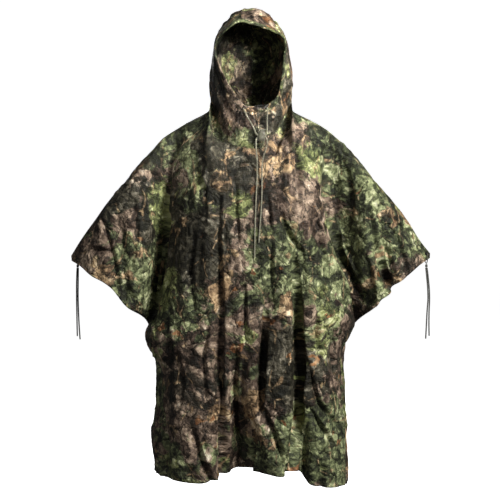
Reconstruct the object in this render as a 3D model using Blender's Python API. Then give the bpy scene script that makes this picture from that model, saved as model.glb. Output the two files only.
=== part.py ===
"""Hooded rain poncho, worn form with no wearer, in metres with +Z up.

The origin is at the centre of the neck base, at the height of the shoulders. The
front faces -Y and the wearer's left arm points along +X. Every cloth piece is a
wall of one thickness on a surface that is worked out from the tables below, which
are in millimetres. The folds are added to that surface along Y.
"""

import math

import bpy
import numpy as np
from mathutils.bvhtree import BVHTree

MM = 0.001
WALL = 2.0 * MM
SEAM_GAP = 0.3 * MM
LAP_GAP = 0.9 * MM

# Rows are (x, z) along the top line of the sleeve, from beside the neck to the tip.
SHOULDER_LEFT = (
    (-114, 20), (-130, 9), (-160, -6), (-208, -34), (-249, -62), (-276, -92), (-314, -132),
    (-347, -176), (-392, -226), (-437, -288), (-476, -342), (-504, -386),
)
SHOULDER_RIGHT = (
    (115, 18), (131, 8), (160, -6), (208, -33), (241, -61), (274, -92), (312, -137),
    (340, -176), (390, -228), (437, -288), (474, -346), (501, -379),
)
# Rows are (x, z) along the lower edge of the sleeve, from the side corner to the tip.
SLEEVE_EDGE_LEFT = (
    (-283, -582), (-299, -557), (-347, -517), (-384, -470), (-412, -452), (-430, -444),
    (-483, -407), (-501, -399),
)
SLEEVE_EDGE_RIGHT = (
    (290, -576), (324, -539), (346, -519), (354, -505), (375, -489), (385, -471), (409, -454),
    (441, -429), (486, -399), (500, -392),
)
# Rows are (z, x) down the side of the body: the armpit valley, then the outline.
SIDE_LEFT = (
    (-34, -208), (-190, -226), (-330, -238), (-450, -247), (-510, -258), (-550, -270),
    (-582, -283), (-618, -297), (-652, -286), (-683, -268), (-740, -264), (-820, -264),
    (-890, -275), (-985, -272),
)
SIDE_RIGHT = (
    (-33, 208), (-190, 226), (-330, 246), (-450, 262), (-530, 280), (-576, 290),
    (-624, 266), (-661, 258), (-735, 263), (-790, 265), (-871, 271), (-1020, 272),
)
# Rows are (x, z) along the hem, from the left side to the right side.
HEM_FRONT = (
    (-272, -985), (-200, -987), (-110, -986), (-80, -974), (-30, -962), (20, -962),
    (80, -966), (130, -964), (150, -988), (200, -1006), (272, -1018),
)
HEM_BACK = (
    (-272, -985), (-200, -1000), (-120, -990), (-40, -1004), (40, -992), (120, -1004),
    (200, -998), (272, -1018),
)
# Rows are (share of the way down, depth of the front, depth of the back).
BODY_DEPTH = (
    (0.0, 118, 96), (0.12, 136, 122), (0.30, 148, 138), (0.57, 158, 140), (1.0, 168, 158),
)
# Rows are (share of the way along the sleeve, reach to the front, reach to the back).
SLEEVE_DEPTH = ((0.0, 62, 54), (0.35, 66, 58), (0.7, 48, 44), (0.9, 24, 22), (1.0, 7, 7))
SLEEVE_FLARE = 22 * MM
ROUND_BODY = 110 * MM
ROUND_NECK = 165 * MM
NECK_BLEND = 34 * MM
ROUND_SLEEVE = 46 * MM
RING_POWER = 2.4

# Rows are (share of the way down, angle at the left edge, angle at the right edge), in
# degrees from the outline of the body at that side. Below zero the cloth has passed
# the outline and lies on the other side.
CORNER = 0.57
FRONT_EDGES = (
    (0.0, 20, 20), (0.3, 17, 17), (0.5, 11, 11), (CORNER, 0.6, 0.6), (0.615, 19, 12),
    (0.665, 26, 18), (1.0, 26, 18),
)
BACK_EDGES = (
    (0.0, 20, 20), (0.3, 17, 17), (0.5, 11, 11), (CORNER, 1.2, 1.2), (0.615, -26, -19),
    (0.665, -33, -25), (1.0, -33, -25),
)
LAP_DEGREES = 7.0

# The neck seam, in the hood's stations from the front V to the nape: x, y, z.
NECK_LEFT = (
    (28, -128, -94), (-22, -125, -90), (-60, -108, -74), (-82, -84, -34), (-101, -40, 16),
    (-112, 12, 48), (-84, 72, 48), (0, 102, 40),
)
NECK_RIGHT = (
    (28, -128, -94), (50, -113, -68), (69, -90, -40), (86, -60, -10), (104, -26, 20),
    (112, 12, 44), (84, 72, 46), (0, 102, 40),
)
NAPE = 7
# The edge of the hood panels round the face, from the chin up to the peak: x, y, z and
# the turn of that station about the vertical, in degrees.
FACE_EDGE = (
    (0, -139, 3, 4.5), (30, -137, 5, 4.5), (58, -123, 28, 6), (70, -110, 52, 6),
    (79, -99, 76, 4.5), (88, -90, 110, 2), (92, -87, 134, 0), (95, -86, 157, -1.5),
    (97, -89, 180, -1), (91, -96, 202, 0), (80, -105, 216, -1), (49, -126, 233, -5),
    (19, -138, 246, -9), (0, -143, 250, -10),
)
# The widest points of the hood, from station 4 up to the peak: x, y, z.
FIRST_SIDE = 4
HOOD_SIDE = (
    (105, -38, 66), (114, -8, 94), (113, 2, 121), (109, 8, 148), (105, 8, 176), (100, 4, 206),
    (88, -6, 238), (60, -40, 268), (26, -88, 281), (0, -108, 273),
)
# The centre seam, from above the nape over the crown to behind the peak: x, y, z.
HOOD_SEAM = (
    (0, 122, 100), (0, 127, 165), (-2, 108, 235), (-4, 58, 284), (-12, -20, 304), (-24, -72, 295),
)
THROAT_BULGE = 6 * MM
CASING_WIDTH = 15.5 * MM
CASING_THICK = 4.4 * MM
CASING_POWER = 3.2

# Large folds. A fold is rows of (x, z, half width, depth); depth is inwards.
FRONT_FOLDS = (
    (
        (-214, -70, 12, 8), (-226, -190, 14, 24), (-240, -340, 19, 34), (-258, -500, 22, 30),
        (-278, -570, 16, 6),
    ),
    (
        (213, -70, 12, 8), (220, -180, 14, 26), (238, -280, 16, 30), (256, -370, 16, 28),
        (300, -470, 16, 22), (330, -512, 14, 16),
    ),
    ((350, -300, 14, 4), (368, -390, 15, 18), (382, -452, 16, 22), (388, -480, 16, 20)),
    ((-36, -640, 24, 4), (-38, -760, 34, 34), (-36, -880, 42, 70), (-34, -1010, 48, 98)),
    (
        (82, -270, 14, 8), (116, -350, 15, 16), (134, -440, 15, 18), (138, -700, 15, 20),
        (137, -880, 16, 30), (138, -1030, 16, 42),
    ),
    ((58, -400, 14, 4), (56, -520, 14, 13), (38, -640, 14, 13), (34, -780, 14, 6)),
    ((-84, -420, 14, 4), (-86, -620, 14, 12), (-92, -800, 14, 6)),
    ((-186, -520, 46, -4), (-190, -760, 50, -14), (-190, -1010, 52, -24)),
    ((74, -620, 34, -4), (76, -1010, 38, -22)),
    ((208, -560, 40, -3), (206, -1030, 40, -14)),
    ((-360, -250, 16, 3), (-352, -360, 18, 14), (-342, -500, 18, 12)),
)
BACK_FOLDS = (
    (
        (-206, -70, 12, 8), (-222, -200, 15, 24), (-240, -360, 18, 32), (-262, -510, 20, 26),
        (-280, -575, 14, 5),
    ),
    (
        (206, -70, 12, 8), (224, -210, 15, 26), (244, -370, 18, 32), (268, -500, 20, 24),
        (286, -570, 14, 5),
    ),
    ((-372, -270, 14, 3), (-366, -380, 16, 16), (-360, -500, 16, 14)),
    ((352, -270, 14, 3), (348, -380, 16, 15), (340, -520, 16, 14)),
    ((-112, -300, 18, 5), (-128, -560, 20, 22), (-136, -800, 24, 36), (-138, -1020, 28, 52)),
    ((6, -160, 22, 5), (10, -420, 18, 14), (14, -740, 22, 26), (14, -1020, 26, 44)),
    ((118, -280, 18, 5), (136, -520, 20, 20), (150, -800, 24, 38), (152, -1030, 28, 54)),
    ((-62, -620, 34, -4), (-62, -1010, 36, -16)),
    ((82, -620, 34, -4), (82, -1010, 36, -16)),
)

# Mesh steps of the panels.
SLEEVE_COLUMNS = 10
SHOULDER_COLUMNS = {"front": 5, "back": 7}
NECK_STEPS = {"front": 8, "back": 5}
UPPER_ROWS = (0.0, 0.012, 0.04, 0.08, 0.14, 0.22, 0.31, 0.41, 0.52, 0.64, 0.76, 0.88, 1.0)
LOWER_ROWS = 9
SEAM_ROWS = 14
HOOD_COLUMNS = 11
CASING_STEPS = 56
CASING_SIDES = 8

PIECE_GAP = 0.4 * MM
STUD_HEIGHTS = (-0.628, -0.745, -0.870)
# Rows are (radius, height) of a press stud's cap, from its flat base to its crown.
STUD_CAP = ((0.0, 0.0), (5.6, 0.0), (6.0, 0.5), (5.4, 1.4), (3.4, 2.0), (0.0, 2.2))
STUD_REACH = 6 * MM
STUD_STEPS = 12
CHIN_EYELET_X = {"left": -19 * MM, "right": 42 * MM}
# Rows are (radius, height) round the rim of an eyelet.
CHIN_EYELET = ((2.6, 0.0), (4.9, 0.0), (4.9, 0.5), (4.2, 1.1), (3.3, 1.3), (2.6, 0.9))
TIP_EYELET = (
    (2.9, -2.5), (5.2, -2.5), (6.0, -2.1), (6.0, -1.8), (3.7, -1.7), (3.7, 1.7), (6.0, 1.8),
    (6.0, 2.1), (5.2, 2.5), (2.9, 2.5),
)
PANEL_HOLE = 4.2 * MM
# The eyelet of each sleeve tip: x, z, and the panel that it goes through.
TIP_EYELETS = {"left": (-489 * MM, -382 * MM, "back"), "right": (488 * MM, -379.5 * MM, "front")}

CORD_DIAMETER = 3.2 * MM
CORD_STEPS = 46
TIE_DIAMETER = 2.6 * MM
TIE_STEPS = 20
LOOP_TOP = -1.0 * MM
LOOP_BOTTOM = 28.5 * MM
LOOP_WIDTH = 6.6 * MM
LOOP_STEPS = 22
LOOP_DROP = 12 * MM
# Rows are (radius, height) of a tie's knot, from its lower end.
KNOT = (
    (0, 0), (2.3, 0.4), (3.5, 1.9), (3.7, 3.3), (3.0, 4.5), (3.8, 5.8), (3.4, 7.6), (2.1, 8.8),
    (0, 9.2),
)
KNOT_HEIGHT = 9.2 * MM
# Routes of the tie ends from the lower end of the knot: x, y, z.
TIE_ROUTES = {
    "right_a": (
        (-1.5, 0, -0.3), (-0.5, 0, -10), (1.5, -0.5, -30), (4, -1, -60), (5, 0, -88), (3, 1, -120),
        (1, 0, -160), (-1, -1, -199),
    ),
    "right_b": (
        (1.6, 0, -0.3), (3, 0, -10), (5.5, 0.5, -30), (8.3, 0, -60), (9.4, 1, -88), (8.6, 2, -120),
        (8.2, 1, -160), (8.8, 0, -191),
    ),
    "left_a": (
        (-1.6, 0, -0.3), (-2.2, 0, -10), (-3.2, -0.5, -40), (-3.6, 0, -80), (-3.4, 1, -120),
        (-3, 1, -160), (-2.2, 0, -194),
    ),
    "left_b": (
        (1.6, 0, -0.3), (1.4, 0, -10), (0.8, 0.5, -40), (0.4, 0, -80), (1.2, 0, -120),
        (3.2, -0.5, -165), (5.5, 0, -203),
    ),
}

# Routes of the two ends of the hood cord, from the chin eyelet through the lock to the
# free end: x, y, z. They cross inside the lock.
CORD_ROUTES = {
    "left": (
        (-19.5, -143, 12), (-19.3, -147, 11), (-16.5, -151, 5), (-11, -153, -8), (-1, -154, -25),
        (7, -153.5, -40), (13, -152.8, -53), (18, -152.4, -59.2), (23, -152.3, -60.6),
        (28, -152.3, -61.5), (33, -152.3, -62.4), (38, -152.6, -64), (42, -153.2, -69),
        (42.8, -152.5, -78), (38, -148, -98), (31, -141, -125), (29, -137.5, -160),
        (29, -140.5, -200), (27, -146.2, -250), (23.5, -149.6, -300), (20.5, -152, -345),
    ),
    "right": (
        (42.5, -139, 14), (43.5, -144, 13), (44, -148, 6), (43, -150, -8), (42.8, -150, -25),
        (43, -149.5, -42), (41.8, -149, -54), (38, -148.8, -59.2), (33, -148.7, -60.6),
        (28, -148.7, -61.5), (23, -148.7, -62.4), (18, -149.4, -64), (14, -151, -69),
        (13, -151.5, -78), (14, -148, -98), (16, -141, -125), (16, -137.5, -160),
        (14, -141.2, -210), (11.5, -147.3, -270), (10, -151, -330), (9, -154, -384),
    ),
}

LOCK_CENTRE = np.array((28, -150.5, -61.5)) * MM
LOCK_WIDTH = 19 * MM
LOCK_DEPTH = 14 * MM
LOCK_HEIGHT = 25 * MM
LOCK_BEVEL = 1.6 * MM
LOCK_POWER = 2.8
LOCK_STEPS = 24
TUNNEL_POWER = 4
TUNNEL_DEPTH = 7.6 * MM
TUNNEL_HEIGHT = 10.8 * MM
BORE_RADIUS = 5.3 * MM
BORE_DEPTH = 22.4 * MM
STEM_RADIUS = 5.0 * MM
STEM_DEPTH = 19.4 * MM
BUTTON_WIDTH = 22 * MM
BUTTON_THICK = 3.4 * MM
BUTTON_GAP = 3.0 * MM


# --- curves and tables ---


def smooth(at, stations, values):
    """Values at the given stations, on a smooth curve through the rows of a table."""
    at = np.asarray(at, float)
    stations = np.asarray(stations, float)
    values = np.asarray(values, float)
    shape = values.shape[1:]
    values = values.reshape(len(values), -1)
    step = np.diff(stations)
    rise = np.diff(values, axis=0) / step[:, None]
    slope = np.empty_like(values)
    slope[0] = rise[0]
    slope[-1] = rise[-1]
    both = (step[:-1] + step[1:])[:, None]
    slope[1:-1] = (rise[:-1] * step[1:, None] + rise[1:] * step[:-1, None]) / both
    low = np.clip(np.searchsorted(stations, at, side="right") - 1, 0, len(step) - 1)
    h = step[low][..., None]
    t = np.clip((at - stations[low]) / step[low], 0, 1)[..., None]
    result = (
        (2 * t**3 - 3 * t**2 + 1) * values[low]
        + (t**3 - 2 * t**2 + t) * h * slope[low]
        + (3 * t**2 - 2 * t**3) * values[low + 1]
        + (t**3 - t**2) * h * slope[low + 1]
    )
    return result.reshape(at.shape + shape)


def distances(points):
    """Length along a line at each of its points, from 0."""
    return np.concatenate([[0.0], np.cumsum(np.linalg.norm(np.diff(points, axis=0), axis=1))])


def smooth_line(points, count):
    """A smooth curve through points, as count points evenly spaced along it."""
    points = np.asarray(points, float)
    along = distances(points)
    fine = smooth(np.linspace(0, along[-1], 40 * len(points)), along, points)
    return evenly(fine, np.linspace(0, 1, count))


def evenly(line, shares):
    """Points of a line at shares of its length."""
    along = distances(line)
    at = np.asarray(shares) * along[-1]
    return np.stack([np.interp(at, along, line[:, k]) for k in range(line.shape[1])], axis=-1)


def ease(t):
    t = np.clip(t, 0, 1)
    return t * t * (3 - 2 * t)


def quarter(t):
    """The rise of a quarter circle, from 0 with an upright start to 1."""
    return np.sqrt(1 - (1 - np.clip(t, 0, 1)) ** 2)


def unit(vectors):
    vectors = np.asarray(vectors, float)
    return vectors / np.maximum(np.linalg.norm(vectors, axis=-1, keepdims=True), 1e-12)


def turned(point, degrees):
    """A point turned about the vertical through the origin."""
    x, y, z = point
    c, s = math.cos(math.radians(degrees)), math.sin(math.radians(degrees))
    return np.array((x * c - y * s, x * s + y * c, z))


# --- neck and shoulder lines ---


def neck_table(side):
    return np.array(NECK_LEFT if side < 0 else NECK_RIGHT) * MM


def neck_corner(side):
    """Station of the neck seam above the shoulder line."""
    at = np.linspace(0, NAPE, 4001)
    line = smooth(at, np.arange(NAPE + 1), neck_table(side))
    return at[int(np.argmin(np.abs(line[:, 1])))]


def neck_stations(side):
    """Stations of the seam's points, shared by the hood and both body panels."""
    corner = neck_corner(side)
    front = np.linspace(0, corner, NECK_STEPS["front"] + 1)
    back = np.linspace(corner, NAPE, NECK_STEPS["back"] + 1)
    return np.concatenate([front, back[1:]])


def neck_points(side):
    return smooth(neck_stations(side), np.arange(NAPE + 1), neck_table(side))


def neck_normal(points):
    """Outward direction of the mitre where the hood meets the body."""
    centre = np.array((0.0, -0.012, 0.0))
    out = points - centre
    out[..., 2] = 0
    out = unit(out)
    out[..., 2] = 0.25 + 0.6 * np.abs(out[..., 0])
    return unit(out)


def shoulder_parts(side):
    """The top line in two parts: neck to armpit valley, and valley to tip."""
    table = SHOULDER_LEFT if side < 0 else SHOULDER_RIGHT
    start = neck_points(side)[NECK_STEPS["front"]]
    rows = [(start[0], 0.0, start[2])] + [(x * MM, 0.0, z * MM) for x, z in table]
    line = smooth_line(rows, 500)
    valley = (SIDE_LEFT if side < 0 else SIDE_RIGHT)[0][1] * MM
    cut = int(np.argmin(np.abs(line[:, 0] - valley)))
    return line[: cut + 1], line[cut:]


def top_points(face):
    """The top line of a body panel, with a point at each column."""
    shares = np.linspace(0, 1, SHOULDER_COLUMNS[face] + 1)
    left = evenly(shoulder_parts(-1)[0], shares)[::-1]
    right = evenly(shoulder_parts(1)[0], shares)
    cut = NECK_STEPS["front"]
    if face == "front":
        neck = np.concatenate([neck_points(-1)[cut::-1], neck_points(1)[1 : cut + 1]])
    else:
        neck = np.concatenate([neck_points(-1)[cut:], neck_points(1)[-2 : cut - 1 : -1]])
    return np.concatenate([left, neck[1:-1], right])


# --- the cloth of the body ---


def fold_depth(x, z, folds):
    """Inward depth of the folds at points of the panel."""
    depth = np.zeros_like(x)
    for fold in folds:
        rows = np.array(fold) * MM
        near = np.full(x.shape, np.inf)
        width = np.ones_like(x)
        deep = np.zeros_like(x)
        for (x0, z0, w0, d0), (x1, z1, w1, d1) in zip(rows[:-1], rows[1:]):
            run = (x1 - x0) ** 2 + (z1 - z0) ** 2
            t = np.clip(((x - x0) * (x1 - x0) + (z - z0) * (z1 - z0)) / run, 0, 1)
            away = np.hypot(x - x0 - t * (x1 - x0), z - z0 - t * (z1 - z0))
            closer = away < near
            near = np.where(closer, away, near)
            width = np.where(closer, w0 + t * (w1 - w0), width)
            deep = np.where(closer, d0 + t * (d1 - d0), deep)
        depth += deep * np.exp(-((near / width) ** 2))
    return depth


def side_x(side, z):
    """X of the armpit valley or of the body's outline at a height."""
    table = np.array(SIDE_LEFT if side < 0 else SIDE_RIGHT) * MM
    return smooth(-z, -table[:, 0], table[:, 1])


def ring(angle):
    """Across and deep shares of the body's rounded section at an angle."""
    cosine, sine = np.cos(angle), np.sin(angle)
    across = np.sign(cosine) * np.abs(cosine) ** (2 / RING_POWER)
    return across, np.sign(sine) * np.abs(sine) ** (2 / RING_POWER)


def rows_down():
    lower = np.linspace(CORNER, 1, LOWER_ROWS + 1)[1:]
    return np.concatenate([np.array(UPPER_ROWS) * CORNER, lower])


def body_grid(face, top, across, down):
    """Points of a body panel. top holds each column's point on the top line, across is
    its share of the width, and down the shares of the way to the hem."""
    front = face == "front"
    table = np.array(FRONT_EDGES if front else BACK_EDGES)
    depth_table = np.array(BODY_DEPTH)
    hem_table = np.array(HEM_FRONT if front else HEM_BACK) * MM
    sign = -1 if front else 1
    down = down[:, None]
    left = np.radians(np.interp(down, table[:, 0], table[:, 1]))
    right = np.radians(np.interp(down, table[:, 0], table[:, 2]))
    angle = left + (math.pi - right - left) * across[None, :]
    over, deep = ring(angle)
    depth = smooth(down[:, 0], depth_table[:, 0], depth_table[:, 1 if front else 2] * MM)[:, None]

    # Heights run from the top line to the hem, and the side corners are met exactly.
    middle = 0.5 * (hem_table[0, 0] + hem_table[-1, 0])
    half = 0.5 * (hem_table[0, 0] - hem_table[-1, 0])
    hem_z = smooth(middle + half * over[-1:], hem_table[:, 0], hem_table[:, 1])
    z = top[None, :, 2] + (hem_z - top[None, :, 2]) * down
    tent = np.minimum(down / CORNER, (1 - down) / (1 - CORNER))
    for side, share in ((-1, 1 - across), (1, across)):
        corner = (SLEEVE_EDGE_LEFT if side < 0 else SLEEVE_EDGE_RIGHT)[0][1] * MM
        edge = top[0 if side < 0 else -1, 2]
        hem = hem_z[0, 0 if side < 0 else -1]
        z = z + (corner - edge - (hem - edge) * CORNER) * tent * share[None, :] ** 2

    # Widths run from the top line to the rounded section between the two sides.
    above = down <= CORNER
    reach_left = side_x(-1, z[:, :1]) / np.where(above, ring(left)[0], 1.0)
    reach_right = side_x(1, z[:, -1:]) / np.where(above, ring(right)[0], 1.0)
    section = 0.5 * (reach_left + reach_right) + 0.5 * (reach_left - reach_right) * over
    settle = ease(down / (0.8 * CORNER))
    x = top[None, :, 0] * (1 - settle) + section * settle
    x[:, 0] = section[:, 0]
    x[:, -1] = section[:, -1]
    x[0] = top[:, 0]

    drop = np.hypot(x - top[None, :, 0], z - top[None, :, 2])
    at_neck = ease(np.abs(top[None, :, 1]) / NECK_BLEND)
    slope = 1 - (1 - np.clip(drop / ROUND_NECK, 0, 1)) ** 2
    rise = quarter(drop / ROUND_BODY) * (1 - at_neck) + slope * at_neck
    y = top[None, :, 1] * (1 - rise) + sign * depth * deep * rise
    lap = LAP_DEGREES / np.degrees(math.pi - right - left)
    inside = ease((np.minimum(across, 1 - across)[None, :] - lap) / 0.08)
    near_corner = ease((CORNER - down) / (0.12 * CORNER))
    free = inside + (1 - inside) * near_corner
    y = y - sign * fold_depth(x, z, FRONT_FOLDS if front else BACK_FOLDS) * rise * free
    return np.stack([x, y, z], axis=-1)


def sleeve_grid(face, side, valley, along, down):
    """Points of a sleeve. valley holds its column at the body, along the shares of the
    way to the tip, and down the shares of the way from the top line to the edge."""
    front = face == "front"
    sign = -1 if front else 1
    top = evenly(shoulder_parts(side)[1], along)
    edge_table = np.array(SLEEVE_EDGE_LEFT if side < 0 else SLEEVE_EDGE_RIGHT) * MM
    flat = np.column_stack([edge_table[:, 0], np.zeros(len(edge_table)), edge_table[:, 1]])
    edge = evenly(smooth_line(flat, 300), along)
    top[0], edge[0] = valley[0], valley[-1]
    t = down[:, None]
    straight = top[None] * (1 - t[..., None]) + edge[None] * t[..., None]
    bend = valley - (valley[:1] * (1 - t) + valley[-1:] * t)
    fade = (1 - along)[None, :, None] ** 2
    x = (straight + bend[:, None] * fade)[..., 0]
    z = (straight + bend[:, None] * fade)[..., 2]
    drop = np.hypot(x - top[None, :, 0], z - top[None, :, 2])
    reach_table = np.array(SLEEVE_DEPTH)
    reach = smooth(along, reach_table[:, 0], reach_table[:, 1 if front else 2] * MM)
    room = np.minimum(1, 4 * (1 - along) + 0.05)
    rise = quarter(drop / ROUND_SLEEVE)
    body = sign * (reach[None, :] * rise + SLEEVE_FLARE * t * room[None, :])
    join = ease(along / 0.30)[None, :]
    y = valley[:, 1][:, None] * (1 - join) + body * join
    y = y - sign * fold_depth(x, z, FRONT_FOLDS if front else BACK_FOLDS) * rise * join
    return np.stack([x, y, z], axis=-1)


def column_shares(face, count):
    """Shares of the width for the columns, closer where the folds are steep."""
    trial = np.linspace(0, 1, 241)
    top = evenly(top_points(face), trial)
    grid = body_grid(face, top, trial, np.array([0.35, 0.6, 0.8, 1.0]))
    lengths = np.linalg.norm(np.diff(grid, axis=1), axis=2)
    lengths = (lengths / lengths.sum(axis=1, keepdims=True)).mean(axis=0)
    along = np.concatenate([[0], np.cumsum(lengths)])
    edges = (FRONT_EDGES if face == "front" else BACK_EDGES)[-1]
    lap = LAP_DEGREES / (180 - edges[1] - edges[2])
    ends = np.interp([lap, 1 - lap], trial, along)
    return np.concatenate([[0.0], np.interp(np.linspace(*ends, count - 1), along, trial), [1.0]])


def panel_grids(face):
    """Grid of a body panel and the grids of its two sleeves."""
    top = top_points(face)
    body = body_grid(face, top, column_shares(face, len(top) - 1), rows_down())
    upper = len(UPPER_ROWS)
    along = np.linspace(0, 1, SLEEVE_COLUMNS + 1)
    shares = np.array(UPPER_ROWS)
    left = sleeve_grid(face, -1, body[:upper, 0], along, shares)
    right = sleeve_grid(face, 1, body[:upper, -1], along, shares)
    return body, [left, right]


def join_grids(body, sleeves):
    """One list of points and one of quads from the body grid and its sleeve grids."""
    rows, columns = body.shape[:2]
    upper = len(UPPER_ROWS)
    points = [body.reshape(-1, 3)]
    body_at = np.arange(rows * columns).reshape(rows, columns)
    grids = [body_at]
    total = rows * columns
    for side, sleeve in zip((-1, 1), sleeves):
        free = sleeve[:, 1:]
        at = total + np.arange(free.shape[0] * free.shape[1]).reshape(free.shape[:2])
        total += at.size
        points.append(free.reshape(-1, 3))
        seam = body_at[:upper, :1] if side < 0 else body_at[:upper, -1:]
        grids.append(np.concatenate([seam, at], axis=1))
    quads = []
    for grid, mirrored in zip(grids, (False, True, False)):
        quad = grid_quads(grid)
        quads.append(quad[:, ::-1] if mirrored else quad)
    return np.concatenate(points), np.concatenate(quads), grids


def grid_quads(grid):
    quads = [grid[:-1, :-1], grid[1:, :-1], grid[1:, 1:], grid[:-1, 1:]]
    return np.stack(quads, axis=-1).reshape(-1, 4)


# --- meshes ---


def triangles_of(points, quads):
    """Each quad cut along its shorter diagonal."""
    a, b, c, d = (points[quads[:, k]] for k in range(4))
    short = np.linalg.norm(a - c, axis=1) <= 1.05 * np.linalg.norm(b - d, axis=1)
    first = np.where(short[:, None], quads[:, [0, 1, 2]], quads[:, [0, 1, 3]])
    second = np.where(short[:, None], quads[:, [0, 2, 3]], quads[:, [1, 2, 3]])
    return np.concatenate([first, second])


def vertex_normals(points, triangles):
    a, b, c = (points[triangles[:, k]] for k in range(3))
    face = np.cross(b - a, c - a)
    normals = np.zeros_like(points)
    for k in range(3):
        np.add.at(normals, triangles[:, k], face)
    return unit(normals)


def closed_wall(points, triangles, normals):
    """Points and faces of a closed wall on both sides of an open surface."""
    count = len(points)
    both = np.concatenate([points + normals * WALL / 2, points - normals * WALL / 2])
    inner = triangles[:, ::-1] + count
    edges = np.concatenate([triangles[:, [0, 1]], triangles[:, [1, 2]], triangles[:, [2, 0]]])
    key = np.sort(edges, axis=1) @ [1, count]
    _, index, uses = np.unique(key, return_inverse=True, return_counts=True)
    rim = edges[uses[index.reshape(-1)] == 1]
    side = np.concatenate([
        np.column_stack([rim[:, 1], rim[:, 0], rim[:, 0] + count]),
        np.column_stack([rim[:, 1], rim[:, 0] + count, rim[:, 1] + count]),
    ])
    return both, np.concatenate([triangles, inner, side])


def outward(points, faces):
    """The faces, turned round where they enclose a negative volume."""
    points = np.asarray(points)
    volume = 0.0
    for face in faces:
        first = points[face[0]]
        for b, c in zip(face[1:-1], face[2:]):
            volume += np.dot(first, np.cross(points[b], points[c]))
    return faces if volume > 0 else [tuple(reversed(face)) for face in faces]


def make_object(name, points, faces, material, sharp=math.radians(50)):
    mesh = bpy.data.meshes.new(name)
    points = [tuple(map(float, point)) for point in points]
    mesh.from_pydata(points, [], [tuple(map(int, face)) for face in faces])
    mesh.shade_smooth()
    mesh.set_sharp_from_angle(angle=sharp)
    mesh.materials.append(material)
    obj = bpy.data.objects.new(name, mesh)
    bpy.context.scene.collection.objects.link(obj)
    return obj


def make_material(name, colour, roughness, metallic=0.0):
    material = bpy.data.materials.new(name)
    material.use_nodes = True
    shader = material.node_tree.nodes["Principled BSDF"]
    shader.inputs["Base Color"].default_value = (*colour, 1.0)
    shader.inputs["Roughness"].default_value = roughness
    shader.inputs["Metallic"].default_value = metallic
    material.diffuse_color = (*colour, 1.0)
    return material


def combine(obj, tool, operation="DIFFERENCE"):
    """Cuts or joins a helper object, which is left out of the part."""
    tool.hide_render = True
    tool.display_type = "WIRE"
    modifier = obj.modifiers.new(tool.name, "BOOLEAN")
    modifier.object = tool
    modifier.operation = operation


def round_faces(rings, steps):
    """Quads between neighbouring rings of points."""
    faces = []
    for k in range(rings - 1):
        for j in range(steps):
            n = (j + 1) % steps
            faces.append((k * steps + j, k * steps + n, (k + 1) * steps + n, (k + 1) * steps + j))
    return faces


def turned_solid(name, profile, centre, axis, material, steps=18):
    """A solid turned about an axis, from rows of (radius, height) in millimetres. The
    rows close on themselves, or start and end on the axis."""
    axis = unit(axis)
    across = unit(np.cross(axis, (0.31, 0.12, 0.94)))
    other = np.cross(axis, across)
    angles = np.arange(steps) * 2 * math.pi / steps
    spokes = np.outer(np.cos(angles), across) + np.outer(np.sin(angles), other)
    capped = profile[0][0] == 0
    rows = profile[1:-1] if capped else profile
    points = [centre + axis * height * MM + spokes * radius * MM for radius, height in rows]
    faces = round_faces(len(rows), steps)
    last = (len(rows) - 1) * steps
    if capped:
        ends = [centre + axis * height * MM for height in (profile[0][1], profile[-1][1])]
        points.append(np.array(ends))
        bottom = last + steps
    for j in range(steps):
        n = (j + 1) % steps
        if capped:
            faces.append((bottom, n, j))
            faces.append((bottom + 1, last + j, last + n))
        else:
            faces.append((last + j, last + n, n, j))
    points = np.concatenate(points)
    return make_object(name, points, outward(points, faces), material, math.radians(35))


def rod(name, radius, low, high, material):
    """An upright or slanted cylinder between two points, as a cutter or a stem."""
    length = np.linalg.norm(high - low) / MM
    size = radius / MM
    profile = ((0, 0), (size, 0), (size, length), (0, length))
    return turned_solid(name, profile, low, high - low, material, 24)


def lofted_block(name, centre, size, rows, material, power=LOCK_POWER, along_x=False):
    """A block with a rounded outline of the given size. Rows are (share of the outline,
    height), along Z or along X."""
    angles = np.arange(LOCK_STEPS) * 2 * math.pi / LOCK_STEPS
    wide = np.sign(np.cos(angles)) * np.abs(np.cos(angles)) ** (2 / power) * size[0] / 2
    deep = np.sign(np.sin(angles)) * np.abs(np.sin(angles)) ** (2 / power) * size[1] / 2
    points = []
    for share, height in rows:
        level = np.full(LOCK_STEPS, height)
        order = (level, deep * share, wide * share) if along_x else (wide * share, deep * share, level)
        points.append(np.stack(order, axis=-1))
    points = np.concatenate(points) + centre
    faces = round_faces(len(rows), LOCK_STEPS)
    faces.append(tuple(range(LOCK_STEPS))[::-1])
    faces.append(tuple(range(len(points) - LOCK_STEPS, len(points))))
    return make_object(name, points, outward(points, faces), material, math.radians(35))


def make_cord(name, route, diameter, steps, material, cyclic=False):
    """A cord as a curve along a smooth line through its route, in metres."""
    curve = bpy.data.curves.new(name, "CURVE")
    curve.dimensions = "3D"
    curve.bevel_depth = diameter / 2
    curve.bevel_resolution = 2
    curve.use_fill_caps = not cyclic
    if cyclic:
        line = smooth_line(np.concatenate([route, route[:1]]), steps + 1)[:-1]
    else:
        line = smooth_line(route, steps)
    spline = curve.splines.new("POLY")
    spline.points.add(len(line) - 1)
    spline.points.foreach_set("co", np.column_stack([line, np.ones(len(line))]).ravel())
    spline.use_cyclic_u = cyclic
    curve.materials.append(material)
    obj = bpy.data.objects.new(name, curve)
    bpy.context.scene.collection.objects.link(obj)
    return obj


# --- body panels ---


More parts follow.
